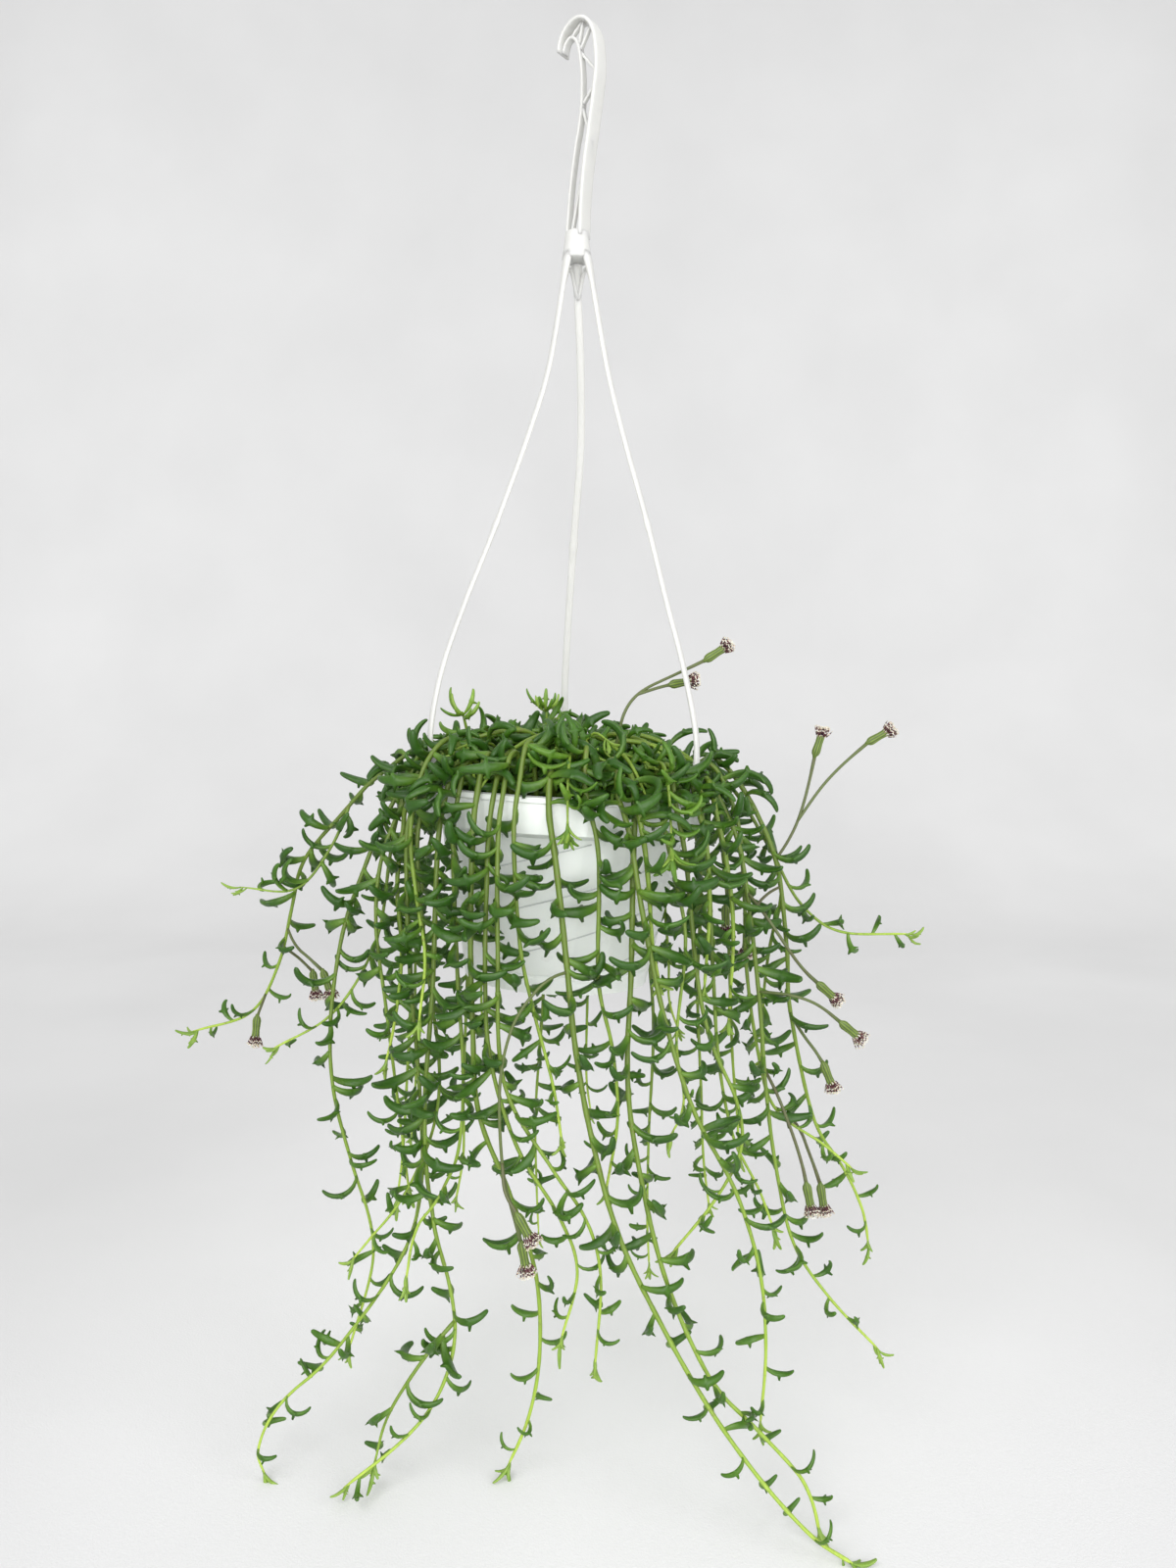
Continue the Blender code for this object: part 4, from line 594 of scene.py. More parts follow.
def finish_lines(shoots):
    """Starts side shoots on their hosts, takes heads off their stalks, and smooths the lines."""
    for number, shoot in enumerate(shoots):
        line = shoot.line.copy()
        hosts = [other.line for other in shoots[:number] if other.node == shoot.node]
        if hosts:
            host = np.concatenate(hosts)
            line[0] = host[np.argmin(np.linalg.norm(host - line[0], axis=1))]
        if shoot.kind == "stalk":
            shoot.tip = line[-1]
            left = np.linalg.norm(np.diff(line, axis=0), axis=1)[::-1].cumsum()[::-1]
            line = line[: max(2, int(np.sum(left > HEAD_LENGTH)) + 1)]
        kept = [*range(0, len(line) - 1, 3), len(line) - 1]
        if len(kept) > 2 and kept[-1] - kept[-2] < 2:
            kept.pop(-2)
        shoot.line = smooth_line(line[kept], SAMPLE)


def leg_lines():
    """Each leg's line from the block down into its foot."""
    lines = []
    for azimuth, route in LEGS:
        ends = on_pot(RIM_RADIUS - 1.0, azimuth, 12.0), on_pot(RIM_RADIUS - 1.2, azimuth, 3.0)
        lines.append(smooth_line([*route, *ends], SAMPLE))
    return lines


class Occupied:
    """The space that pieces take, as groups of balls."""

    def __init__(self):
        self.groups = []
        self.middles = np.zeros((0, 3))

    def add(self, centres, radii, node, leafy=False):
        for first in range(0, len(centres), GROUP):
            balls = np.column_stack([centres[first : first + GROUP], radii[first : first + GROUP]])
            self.groups.append((balls, node, leafy))
            self.middles = np.vstack([self.middles, balls[:, :3].mean(axis=0)])

    def add_shoot(self, shoot, node=0):
        self.add(shoot.line, radii_along(shoot), node)

    def clear(self, centres, radii, node, clearance):
        """True where no ball meets another node's, or the outer part meets one of its own leaves."""
        away = np.linalg.norm(self.middles - centres.mean(axis=0), axis=1)
        for number in np.flatnonzero(away < GROUP_REACH):
            balls, owner, leafy = self.groups[number]
            own = owner == node
            if own and not leafy:
                continue
            apart = np.linalg.norm(balls[None, :, :3] - centres[:, None], axis=2)
            apart = apart - balls[None, :, 3] - radii[:, None]
            least = min(0.0, clearance - CLEARANCE) if own else clearance
            if (apart[2 if own else 0 :] < least).any():
                return False
        return True


def square_to(way, heading):
    """The part of a way that is square to a heading, as long as one."""
    return (way - heading * way.dot(heading)).normalized()


def leaf_pose(tangent, turn, forward):
    """Which way a leaf sets out from its stem, and which way it curls."""
    out = Matrix.Rotation(turn, 3, tangent) @ tangent.orthogonal().normalized()
    heading = (out + tangent * forward).normalized()
    return heading, square_to(Vector((0, 0, 1)) - tangent * 0.5, heading)


def leaf_stands(line, draw, spacing):
    """Leaves along a shoot: place, the shoot's way, turn, lean, size, bend and share."""
    length = np.linalg.norm(np.diff(line, axis=0), axis=1).sum()
    step = length / (len(line) - 1)
    turn = draw.uniform(0, math.tau)
    along = spacing * 0.6
    while along < length - BARE_TIP:
        share = along / length
        index = min(int(along / step), len(line) - 2)
        ahead = line[index + 1] - line[index]
        place = line[index] + ahead * (along / step - index)
        turn += GOLDEN_TURN + draw.uniform(-0.5, 0.5)
        size = draw.uniform(0.84, 1.14) * (1 - 0.42 * max(0.0, share - 0.6) / 0.4)
        lean = draw.uniform(0.25, 0.6)
        yield Vector(place), Vector(ahead).normalized(), turn, lean, size, draw.uniform(104, 138), share
        along += spacing * draw.uniform(0.85, 1.2)


def leaf_course(pose):
    """A leaf's middle line at every step, and the ways to its inner side."""
    place, heading, curl, size, bend = pose
    fine = np.arange(LEAF_STEPS + 1) / LEAF_STEPS
    angle = (LEAF_START + math.radians(bend) * fine**0.9)[:, None]
    ways = np.cos(angle) * np.array(heading) + np.sin(angle) * np.array(curl)
    inward = np.cos(angle) * np.array(curl) - np.sin(angle) * np.array(heading)
    step = LEAF_LENGTH * size / LEAF_STEPS
    middle = np.array(place) + np.concatenate([np.zeros((1, 3)), np.cumsum(ways[:-1], axis=0)]) * step
    return middle, inward


def leaf_balls(pose):
    """Balls that hold a leaf, from its root out."""
    share = np.linspace(0.08, 1.0, 12)
    centres = leaf_course(pose)[0][(share * LEAF_STEPS).astype(int)]
    size = pose[3]
    return centres, size * 2.4 * np.minimum(1.0, np.minimum(0.4 + share * 1.6, (1 - share) * 3.2 + 0.15))


def near_pot(centres, radii):
    """True where a ball reaches the pot's wall, the soil or the floor."""
    local, around, outside = from_pot(centres)
    low = local[:, 2] - radii
    wall = (local[:, 2] < radii + 0.5) & (around + radii > RIM_RADIUS - 5.0)
    wall &= around - radii < outside + 0.5
    soil = (around < RIM_RADIUS - 5.0) & (low < SOIL_TOP + 0.5) & (low >= -POT_HEIGHT - 1)
    return bool(np.any(wall | soil | (centres[:, 2] - radii < FLOOR)))


def hides_collar(centres):
    """True where a leaf covers the stretch of collar that shows, a little left of the front."""
    aside, _, height = np.median(centres, axis=0)
    left, right = COLLAR_SIDES
    low, high = COLLAR_HEIGHTS
    before = centres[:, 1].min() < COLLAR_FRONT
    return bool(left < aside < right and before and low < height < high)


def try_leaf(occupied, node, stand, turns, clearance, shrink=1.0, roll=0.8):
    """The first pose of a stand that is clear of everything, or nothing.

    Only a leaf that has a solid, and so the full clearance, may hide the collar.
    """
    place, tangent, turn, forward, size, bend, share = stand
    bend = bend * (1.0 + 0.2 * math.cos(5.0 * turn) + 0.2 * share)
    for extra in turns:
        heading, curl = leaf_pose(tangent, turn + extra, forward)
        if roll > FLAT_ROLL:
            heading = Vector((heading.x, heading.y, heading.z * FLATTER)).normalized()
            curl = square_to(curl, heading)
        curl = Matrix.Rotation(roll * math.sin(9.0 * turn), 3, heading) @ curl
        pose = (place, heading, curl, size * shrink, bend)
        centres, radii = leaf_balls(pose)
        if near_pot(centres, radii) or not occupied.clear(centres[1:], radii[1:], node, clearance):
            continue
        if clearance != CLEARANCE and hides_collar(centres):
            continue
        occupied.add(centres, radii, node, leafy=True)
        return pose
    return None


def youth(shoot, share):
    """How young a shoot is at a share of its length: old near the pot, fresh at the tip."""
    length = SAMPLE * (len(shoot.line) - 1)
    reach = 0.25 if shoot.kind == "branch" else 0.0
    return float(np.clip((share - 0.45) * 1.7, 0, 1) * min(1.0, length / 180) + reach)


def tip_leaves(shoot, draw, grown=1.0):
    """The few tiny leaflets that end a shoot."""
    way = Vector(shoot.line[-1] - shoot.line[-2]).normalized()
    count = draw.choice((3, 4, 4, 5))
    first = draw.uniform(0, math.tau)
    for number in range(count):
        heading, curl = leaf_pose(way, first + number * GOLDEN_TURN, draw.uniform(0.7, 1.9))
        size = draw.uniform(0.28, 0.52) * grown
        place = Vector(shoot.line[-1]) - way * draw.uniform(0.6, 5.0)
        pose = (place, heading, curl, size, draw.uniform(40, 90))
        yield pose, 1.0 if grown == 1.0 else 0.7, draw, number % 2 == 0


def add_between(leaves, occupied, node, shoot, stand, draw):
    """One leaf that has no solid of its own, where there is room for it."""
    roll = ROLL_ABOVE if stand[0].z > ROLL_HEIGHT else ROLL_BELOW
    pose = try_leaf(occupied, node, stand, BETWEEN_TURNS, LOOSE_CLEARANCE, roll=roll)
    pose = pose or try_leaf(occupied, node, stand, BETWEEN_TURNS, TIGHT_CLEARANCE, 0.9, roll)
    if pose:
        leaves.append((pose, LEAF_YOUTH * youth(shoot, stand[-1]), draw))


def leave_shoots(shoots, names, occupied):
    """The leaves of each node: first those that have a solid, then those between them."""
    leaves = {name: [] for name in names}
    plans = []
    for node, name in enumerate(names):
        own = [shoot for shoot in shoots if shoot.node == name and shoot.kind != "stalk"]
        for place, shoot in enumerate(own):
            draw = random.Random(node * 10 + place)
            stands = list(leaf_stands(shoot.line, draw, LEAF_SPACING))
            for stand in stands[::LEAVES_PER_SOLID_LEAF]:
                pose = try_leaf(occupied, node, stand, SOLID_TURNS, CLEARANCE)
                if pose:
                    leaves[name].append((pose, LEAF_YOUTH * youth(shoot, stand[-1]), draw))
            plans.append((node, shoot, stands, draw))
    for node, shoot, stands, draw in plans:
        own = leaves[shoot.node]
        for number, stand in enumerate(stands):
            if number % LEAVES_PER_SOLID_LEAF:
                add_between(own, occupied, node, shoot, stand, draw)
        chance = EXTRA_LEAVES * (EXTRA_BEHIND if "back" in shoot.node else 1.0)
        for stand in leaf_stands(shoot.line, random.Random(EXTRA_SEED + node), LEAF_SPACING):
            if draw.random() < chance * (1.15 - stand[-1]):
                add_between(own, occupied, node, shoot, stand, draw)
        own.extend(tip_leaves(shoot, draw))
    return leaves


def crown_shoots():
    """Short shoots that rise out of the soil and lean over the rim."""
    draw = random.Random(CROWN_SEED + 1)
    for number in range(CROWN_SHOOTS):
        azimuth = 360 * (number * 0.382 % 1.0) + draw.uniform(-8, 8)
        inner = draw.uniform(4, 44)
        outer = inner + draw.uniform(20, 46)
        top = draw.uniform(22, 42) * (1.15 - 0.004 * outer)
        route = (
            on_pot(inner, azimuth, SOIL_TOP + 1),
            on_pot(inner + 5, azimuth + 6, top * 0.75),
            on_pot((inner + outer) / 2, azimuth + 12, top),
            on_pot(outer, azimuth + 16, top - 4),
        )
        yield new_shoot("crown", "branch", draw.uniform(1.2, 1.6), route)


def crown_height(radius):
    """How high the mound of leaves stands over the rim."""
    return 38 * (1 - (radius / 106) ** 2.4)


def arch_route(azimuth, aside, inner, outer):
    """A bare stem that lies over the mound of leaves."""
    share = np.linspace(0, 1, 6)
    radius = inner + (outer - inner) * share
    height = crown_height(radius) + np.array((-9.0, -1.0, 1.5, 1.5, -1.0, -12.0))
    return [on_pot(*point) for point in zip(radius, azimuth + aside * share, height)]


def crown_stands():
    """Single leaves all over the mound, at several depths, as leaf_stands gives them."""
    draw = random.Random(CROWN_SEED + 2)
    for number in range(CROWN_LEAVES):
        radius = CROWN_RADIUS * math.sqrt((number + 0.5) / CROWN_LEAVES)
        azimuth = math.degrees(number * GOLDEN_TURN)
        place = on_pot(radius, azimuth, max(-4.0, crown_height(radius) - draw.uniform(2, 24)))
        sideways = on_pot(1, azimuth + 90, 0) * draw.uniform(-0.8, 0.8)
        outward = on_pot(1, azimuth, 0) * draw.uniform(-0.6, 1.0)
        tangent = outward + sideways + Vector((0, 0, draw.uniform(0.0, 0.8)))
        size = draw.uniform(0.82, 1.06)
        turn = draw.uniform(0, math.tau)
        yield place, tangent.normalized(), turn, draw.uniform(-0.2, 0.5), size, draw.uniform(80, 135), 0.1


def grow_crown(occupied, stalks):
    """The crown's shoots and leaves, in the room that is left."""
    leaves = []
    shoots = []
    lively = {
        "spacing": 6.0, "clearance": -1.0, "shrink": 0.9, "roll": 0.8, "young": 0.28, "fresher": 0.45,
    }
    plain = {
        "spacing": 9.0, "clearance": -0.9, "shrink": 1.0, "roll": 2.4, "young": 0.0, "fresher": 0.35,
    }

    def sprout(shoot, draw, spacing, clearance, shrink, roll, young, fresher):
        for stand in leaf_stands(shoot.line, draw, spacing):
            pose = try_leaf(occupied, 0, stand, CROWN_TURNS, clearance, shrink, roll)
            if pose:
                leaves.append((pose, young + fresher * stand[-1], draw))
        leaves.extend(tip_leaves(shoot, draw))

    for number, (radius, route) in enumerate(YOUNG_SHOOTS, start=1):
        shoot = new_shoot("crown", "branch", radius, route)
        shoots.append(shoot)
        occupied.add_shoot(shoot)
        draw = random.Random(number)
        sprout(shoot, draw, **lively)
        leaves.extend(tip_leaves(shoot, draw, 1.4))
    for arch in ARCHES:
        shoots.append(new_shoot("crown", "branch", ARCH_RADIUS, arch_route(*arch)))
        occupied.add_shoot(shoots[-1])
    for number, shoot in enumerate(crown_shoots()):
        if occupied.clear(shoot.line[1:], radii_along(shoot)[1:], 0, -1.0):
            shoots.append(shoot)
            occupied.add_shoot(shoot)
            sprout(shoot, random.Random(CROWN_SEED + 10 + number), **plain)
    draw = random.Random(CROWN_SEED + 3)
    for stand in crown_stands():
        pose = try_leaf(occupied, 0, stand, MOUND_TURNS, -1.2, roll=3.0)
        if pose:
            leaves.append((pose, draw.uniform(0.0, 0.3), draw))
    return shoots + stalks, leaves


def head_start(shoot):
    """Where a flower head's cup begins, which way it points, and two ways across."""
    start = shoot.line[-1]
    way = (shoot.tip - start) / np.linalg.norm(shoot.tip - start)
    across = np.array(Vector(way).orthogonal().normalized())
    return start, way, across, np.cross(way, across)


def fill_space(occupied, shoots, names):
    """Marks the hanger's legs and every shoot as taken."""
    for number, leg in enumerate(leg_lines()):
        occupied.add(leg, np.full(len(leg), LEG_RADIUS + 0.2), len(names) + number)
    for shoot in shoots:
        node = names.index(shoot.node)
        occupied.add_shoot(shoot, node)
        if shoot.kind == "stalk":
            start, way, *_ = head_start(shoot)
            centres = np.array([start + way * distance for distance in range(0, int(HEAD_LENGTH) + 1, 3)])
            occupied.add(centres, np.full(len(centres), HEAD_RADIUS), node)


def new_object(name, data):
    made = bpy.data.objects.new(name, data)
    bpy.context.scene.collection.objects.link(made)
    return made


class Build:
    """Corners and faces of one piece, and the marks that its surfaces read."""

    def __init__(self):
        self.corners = []
        self.faces = []
        self.slots = []
        self.marks = []
        self.count = 0

    def add(self, shape, slot=0, young=0.0, along=0.0, inner=0.0, pick=0.0):
        """Takes corners and faces. A mark is one number, or one for each corner."""
        corners, faces = shape
        self.corners.append(corners)
        self.faces.extend([[corner + self.count for corner in face] for face in faces])
        self.slots.extend([slot] * len(faces))
        marks = [np.broadcast_to(mark, len(corners)) for mark in (young, along, inner, pick)]
        self.marks.append(np.stack(marks, axis=1))
        self.count += len(corners)

    def finish(self, name, surfaces, slot):
        """One object in metres, which rides on the only body."""
        mesh = bpy.data.meshes.new(name)
        mesh.from_pydata(to_world(np.concatenate(self.corners)).tolist(), [], self.faces)
        for surface in surfaces:
            mesh.materials.append(surface)
        mesh.polygons.foreach_set("material_index", self.slots)
        mesh.polygons.foreach_set("use_smooth", [True] * len(self.faces))
        marks = np.concatenate(self.marks).astype(np.float32)
        for column, mark in enumerate(("young", "along", "inner", "pick")):
            layer = mesh.attributes.new(mark, "FLOAT", "POINT")
            layer.data.foreach_set("value", marks[:, column].copy())
        mesh.validate()
        made = new_object(name, mesh)
        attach(made, "root")
        return made


def loft_faces(rings, sides, last_cap=True):
    """Faces between rings of corners and over both ends."""
    faces = []
    for low in range(0, (rings - 1) * sides, sides):
        for corner in range(sides):
            after = (corner + 1) % sides
            faces.append([low + corner, low + after, low + sides + after, low + sides + corner])
    faces.append(list(range(sides))[::-1])
    if last_cap:
        faces.append([(rings - 1) * sides + corner for corner in range(sides)])
    return faces


def loft(rings):
    """Corners and faces of a closed shape through rings of corners."""
    return np.concatenate(rings), loft_faces(len(rings), len(rings[0]))


def turns_of(sides):
    return math.tau * np.arange(sides) / sides


def spokes(across, over, sides):
    """Ways out from a middle, evenly turned."""
    angles = turns_of(sides)[:, None]
    return np.cos(angles) * across + np.sin(angles) * over


def tube(line, radii, sides):
    """A closed round tube along a line, of one radius or one for each place."""
    line = np.array(line)
    ways = np.gradient(line, axis=0)
    ways = ways / np.linalg.norm(ways, axis=1)[:, None]
    across = np.array(Vector(ways[0]).orthogonal().normalized())
    rings = []
    for place, way, radius in zip(line, ways, np.broadcast_to(radii, len(line))):
        across = across - way * (across @ way)
        across = across / np.linalg.norm(across)
        rings.append(place + radius * spokes(across, np.cross(way, across), sides))
    return loft(rings)


def add_leaf(build, pose, young, draw, finned=True):
    """A keeled crescent, with a fin low on either side."""
    _, heading, curl, size, _ = pose
    middle, inward = leaf_course(pose)
    side = np.cross(np.array(heading), np.array(curl))
    twist = draw.uniform(-0.9, 0.9)
    thick = draw.uniform(0.88, 1.14) * size**0.6 * (1.02 - 0.8 * min(young, 0.4))
    droop = draw.uniform(0.6, 1.25)
    fins = [draw.uniform(0.7, 1.15) * FIN_LENGTH * size * finned for _ in range(2)]
    flat = np.cos(turns_of(LEAF_SIDES))
    deep = np.sin(turns_of(LEAF_SIDES))
    depth = np.where(deep > 0, LEAF_INNER * (1 - 0.3 * deep), LEAF_KEEL)
    corners = []
    for step, wide, fin in LEAF_RINGS:
        turn = twist * min(1.0, 1.5 * step / LEAF_STEPS)
        at = int(step)
        place = middle[at] + (middle[at + 1] - middle[at]) * (step - at)
        out = side * math.cos(turn) + inward[at] * math.sin(turn)
        up = inward[at] * math.cos(turn) - side * math.sin(turn)
        reach = flat * LEAF_HALF_WIDTH * wide * thick
        rise = deep * depth * wide * thick
        for corner, way, fin_length in ((0, 1, fins[0]), (LEAF_SIDES // 2, -1, fins[1])):
            reach[corner] += way * fin * fin_length * math.cos(droop)
            rise[corner] -= fin * fin_length * math.sin(droop)
        corners.append(place + reach[:, None] * out + rise[:, None] * up)
    corners = np.concatenate([*corners, middle[-1][None]])
    corners[:, 2] = np.maximum(corners[:, 2], FLOOR)
    rings = len(LEAF_RINGS)
    low = (rings - 1) * LEAF_SIDES
    tip = rings * LEAF_SIDES
    faces = loft_faces(rings, LEAF_SIDES, last_cap=False)
    faces.extend([low + corner, low + (corner + 1) % LEAF_SIDES, tip] for corner in range(LEAF_SIDES))
    along = np.append(np.repeat([step / LEAF_STEPS for step, _, _ in LEAF_RINGS], LEAF_SIDES), 1.0)
    build.add((corners, faces), LEAF_SLOT, young, along, np.append(np.tile(deep, rings), 0.5), draw.random())


def add_shoot(build, shoot, draw):
    """The round stem of a shoot, with a slight swelling where each leaf leaves it."""
    line = smooth_line(shoot.line[:: 2 if len(shoot.line) > 8 else 1], STEM_STEP)
    line[-1] = shoot.line[-1]
    share = np.linspace(0, 1, len(line))
    if shoot.kind == "stalk":
        sides, slot = 6, STALK_SLOT
        radii = shoot.radius * (1 + 0.25 * np.maximum(0, share - 0.85) / 0.15)
        young = np.full(len(line), draw.uniform(0.12, 0.42))
    else:
        sides, slot = 8, STEM_SLOT
        radii = shoot.radius * taper(share)
        radii = radii * (1 + 0.05 * np.sin(np.arange(len(line)) * STEM_STEP / LEAF_SPACING * math.tau))
        radii[-1] *= 0.5
        young = np.array([youth(shoot, one) for one in share])
    marks = np.repeat(young, sides), np.repeat(share, sides), 0.0, draw.random()
    build.add(tube(line, radii, sides), slot, *marks)


def add_cup(build, shoot, draw):
    """A flower head's green cup: long ribbed scales that end in points."""
    start, way, across, over = head_start(shoot)
    rib = np.cos(CUP_RIBS * turns_of(CUP_SIDES))
    out = spokes(across, over, CUP_SIDES)
    rings = []
    for number, (distance, radius) in enumerate(CUP_RINGS):
        wide = radius * (1 + 0.12 * rib * (number > 1))
        high = distance + 0.9 * rib * (number == len(CUP_RINGS) - 1)
        rings.append(start + way * high[:, None] + out * wide[:, None])
    along = np.repeat([distance / CUP_LENGTH for distance, _ in CUP_RINGS], CUP_SIDES)
    build.add(loft(rings), STALK_SLOT, 0.75, along, np.tile(rib, len(rings)), draw.random())


def add_tuft(build, shoot, draw):
    """Florets: cream tubes with dark columns, which end in curled cream tips."""
    start, way, across, over = head_start(shoot)
    base = start + way * (CUP_LENGTH - 1.5)
    for number in range(FLORETS):
        share = math.sqrt((number + 0.5) / FLORETS)
        angle = number * GOLDEN_TURN
        spoke = across * math.cos(angle) + over * math.sin(angle)
        lean = share * draw.uniform(0.3, 0.62)
        long = draw.uniform(4.8, 6.4) * (1 - 0.12 * share)
        root = base + spoke * (1.6 * share)
        heading = way * math.cos(lean) + spoke * math.sin(lean)
        line = [root + heading * (long * part) + spoke * (0.5 * part**3) for part in (0, 0.4, 0.75, 1.0)]
        build.add(tube(line, (0.2, 0.25, 0.38, 0.58), 5), CREAM_SLOT, along=0.4, pick=draw.random())
        end = line[-1]
        tip = end + heading * draw.uniform(0.8, 1.9)
        column = (end - heading * 2.8, end, tip)
        build.add(tube(column, (0.4, 0.42, 0.25), 5), DARK_SLOT, along=0.5, pick=draw.random())
        for curl in (-1, 1):
            side = np.cross(heading, spoke) * curl
            arc = (tip - heading * 0.4, tip + heading * 0.7 + side * 0.5, tip + heading * 0.6 + side * 1.3)
            build.add(tube(arc, (0.2, 0.26, 0.16), 4), CREAM_SLOT, along=0.9, pick=draw.random())


def make_plant(surfaces):
    """Lays out every shoot and leaf, and builds one piece for each node of the plant."""
    shoots = all_shoots()
    legs = leg_lines()
    settle(shoots, legs)
    names = ["crown"] + [shoot.node for shoot in shoots if shoot.kind == "stem"]
    short = [new_shoot(name, "branch", radius, route, held=2) for name, radius, route in SHORT_STEMS]
    settle(short, [shoot.line for shoot in shoots] + legs)
    stalks = [shoot for shoot in shoots if shoot.kind == "stalk"]
    shoots = [shoot for shoot in shoots if shoot.kind != "stalk"] + short + stalks
    finish_lines(shoots)
    occupied = Occupied()
    fill_space(occupied, shoots, names)
    leaves = leave_shoots([shoot for shoot in shoots if shoot.node != "crown"], names, occupied)
    crown, leaves["crown"] = grow_crown(occupied, [shoot for shoot in stalks if shoot.node == "crown"])
    for node, name in enumerate(names):
        draw = random.Random(BUILD_SEED + node)
        build = Build()
        for shoot in crown if name == "crown" else [shoot for shoot in shoots if shoot.node == name]:
            add_shoot(build, shoot, draw)
            if shoot.kind == "stalk":
                add_cup(build, shoot, draw)
        for leaf in leaves[name]:
            add_leaf(build, *leaf)
        made = build.finish(name + "_plant", [surfaces["leaf"], surfaces["stem"], surfaces["stalk"]], "leaf")
        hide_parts(name)
    for number, shoot in enumerate(stalks, start=1):
        build = Build()
        add_tuft(build, shoot, random.Random(TUFT_SEED + number))
        name = f"florets_{number:02d}"
        made = build.finish(name + "_tuft", [surfaces["cream"], surfaces["anther"]], "floret")
        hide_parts(name)


def strip(build, line, aside, thickness, width, edge=0.4, swell=1.0):
    """A strip of soft-edged section along a line, as wide as given along its aside way."""
    lift = np.cross(aside, np.gradient(line, axis=0))
    lift = lift / np.linalg.norm(lift, axis=1)[:, None]
    angles = math.tau * (np.arange(STRIP_SIDES) + 0.5) / STRIP_SIDES
    over = np.sign(np.cos(angles)) * np.abs(np.cos(angles)) ** edge * width / 2
    up = np.sign(np.sin(angles)) * np.abs(np.sin(angles)) ** edge * thickness / 2
    section = over[:, None] * aside
    sizes = np.broadcast_to(swell, len(line))
    rings = [place + size * (section + up[:, None] * way) for place, way, size in zip(line, lift, sizes)]
    build.add(loft(rings))


def make_hanger(surface):
    """The hanger: its ribbed hook, its block, and three oval legs with a clip on the rim."""
    build = Build()
    turn = math.pi + HOOK_PLANE_TURN
    across = np.array((math.cos(turn), math.sin(turn), 0.0))
    aside = np.array((math.sin(turn), -math.cos(turn), 0.0))
    for thickness, width, line in HEAD_STRIPS:
        flat = smooth_line([(*point, 0) for point in line], 1.6)
        line = flat[:, :1] * across - RIM_PLACE + flat[:, 1:2] * (0, 0, 1)
        strip(build, line, aside, thickness, width)
    circle = spokes(np.array((1, 0, 0)), np.array((0, 1, 0)), BLOCK_SIDES)
    build.add(loft([(*BLOCK_MIDDLE, height) + radius * circle for height, radius in BLOCK_RINGS]))
    tops = []
    for (azimuth, _), line in zip(LEGS, leg_lines()):
        height = line[:, 2]
        nub = 0.3 * np.exp(-(((height - NUB_HEIGHT) / 2.6) ** 2))
        flare = 0.8 * np.clip((26 - height) / 20, 0, 1) ** 2 + 0.5 * np.clip((height - 296) / 14, 0, 1)
        level = across_way(azimuth)
        strip(build, line, level, LEG_THICKNESS, LEG_WIDTH, 0.8, 1 + nub + flare)
        tops.append(line[np.argmin(np.abs(height - BRACE_HEIGHT))])
        clip = smooth_line([on_pot(RIM_RADIUS + out, azimuth, up) for out, up in CLIP_LINE], 1.2)
        strip(build, clip, level, 2.0, 9.0)
    for first, second in ((1, 2), (2, 0)):
        middle = (tops[first] + tops[second]) / 2 + (0, 0, BRACE_RISE)
        build.add(tube(smooth_line([tops[first], middle, tops[second]], 2.0), 1.2, 10))
    made = build.finish("hanger_fine", [surface], "hanger_plastic")
    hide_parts("hanger")


def make_ridges(surface):
    """Faint moulded lines that climb slantwise round the pot's body."""
    build = Build()
    for start in range(RIDGES):
        line = []
        for height in np.arange(BODY_FOOT, BODY_TOP - 1, 1.5):
            azimuth = 360 * start / RIDGES + 26 + (height - BODY_FOOT) * 360 / (RIDGES * RIDGE_RISE)
            line.append(on_pot(pot_outside(height) - RIDGE_SUNK, azimuth, height))
        build.add(tube(line, RIDGE_RADIUS, 6))
    build.finish("pot_ridges", [surface], "pot_plastic")


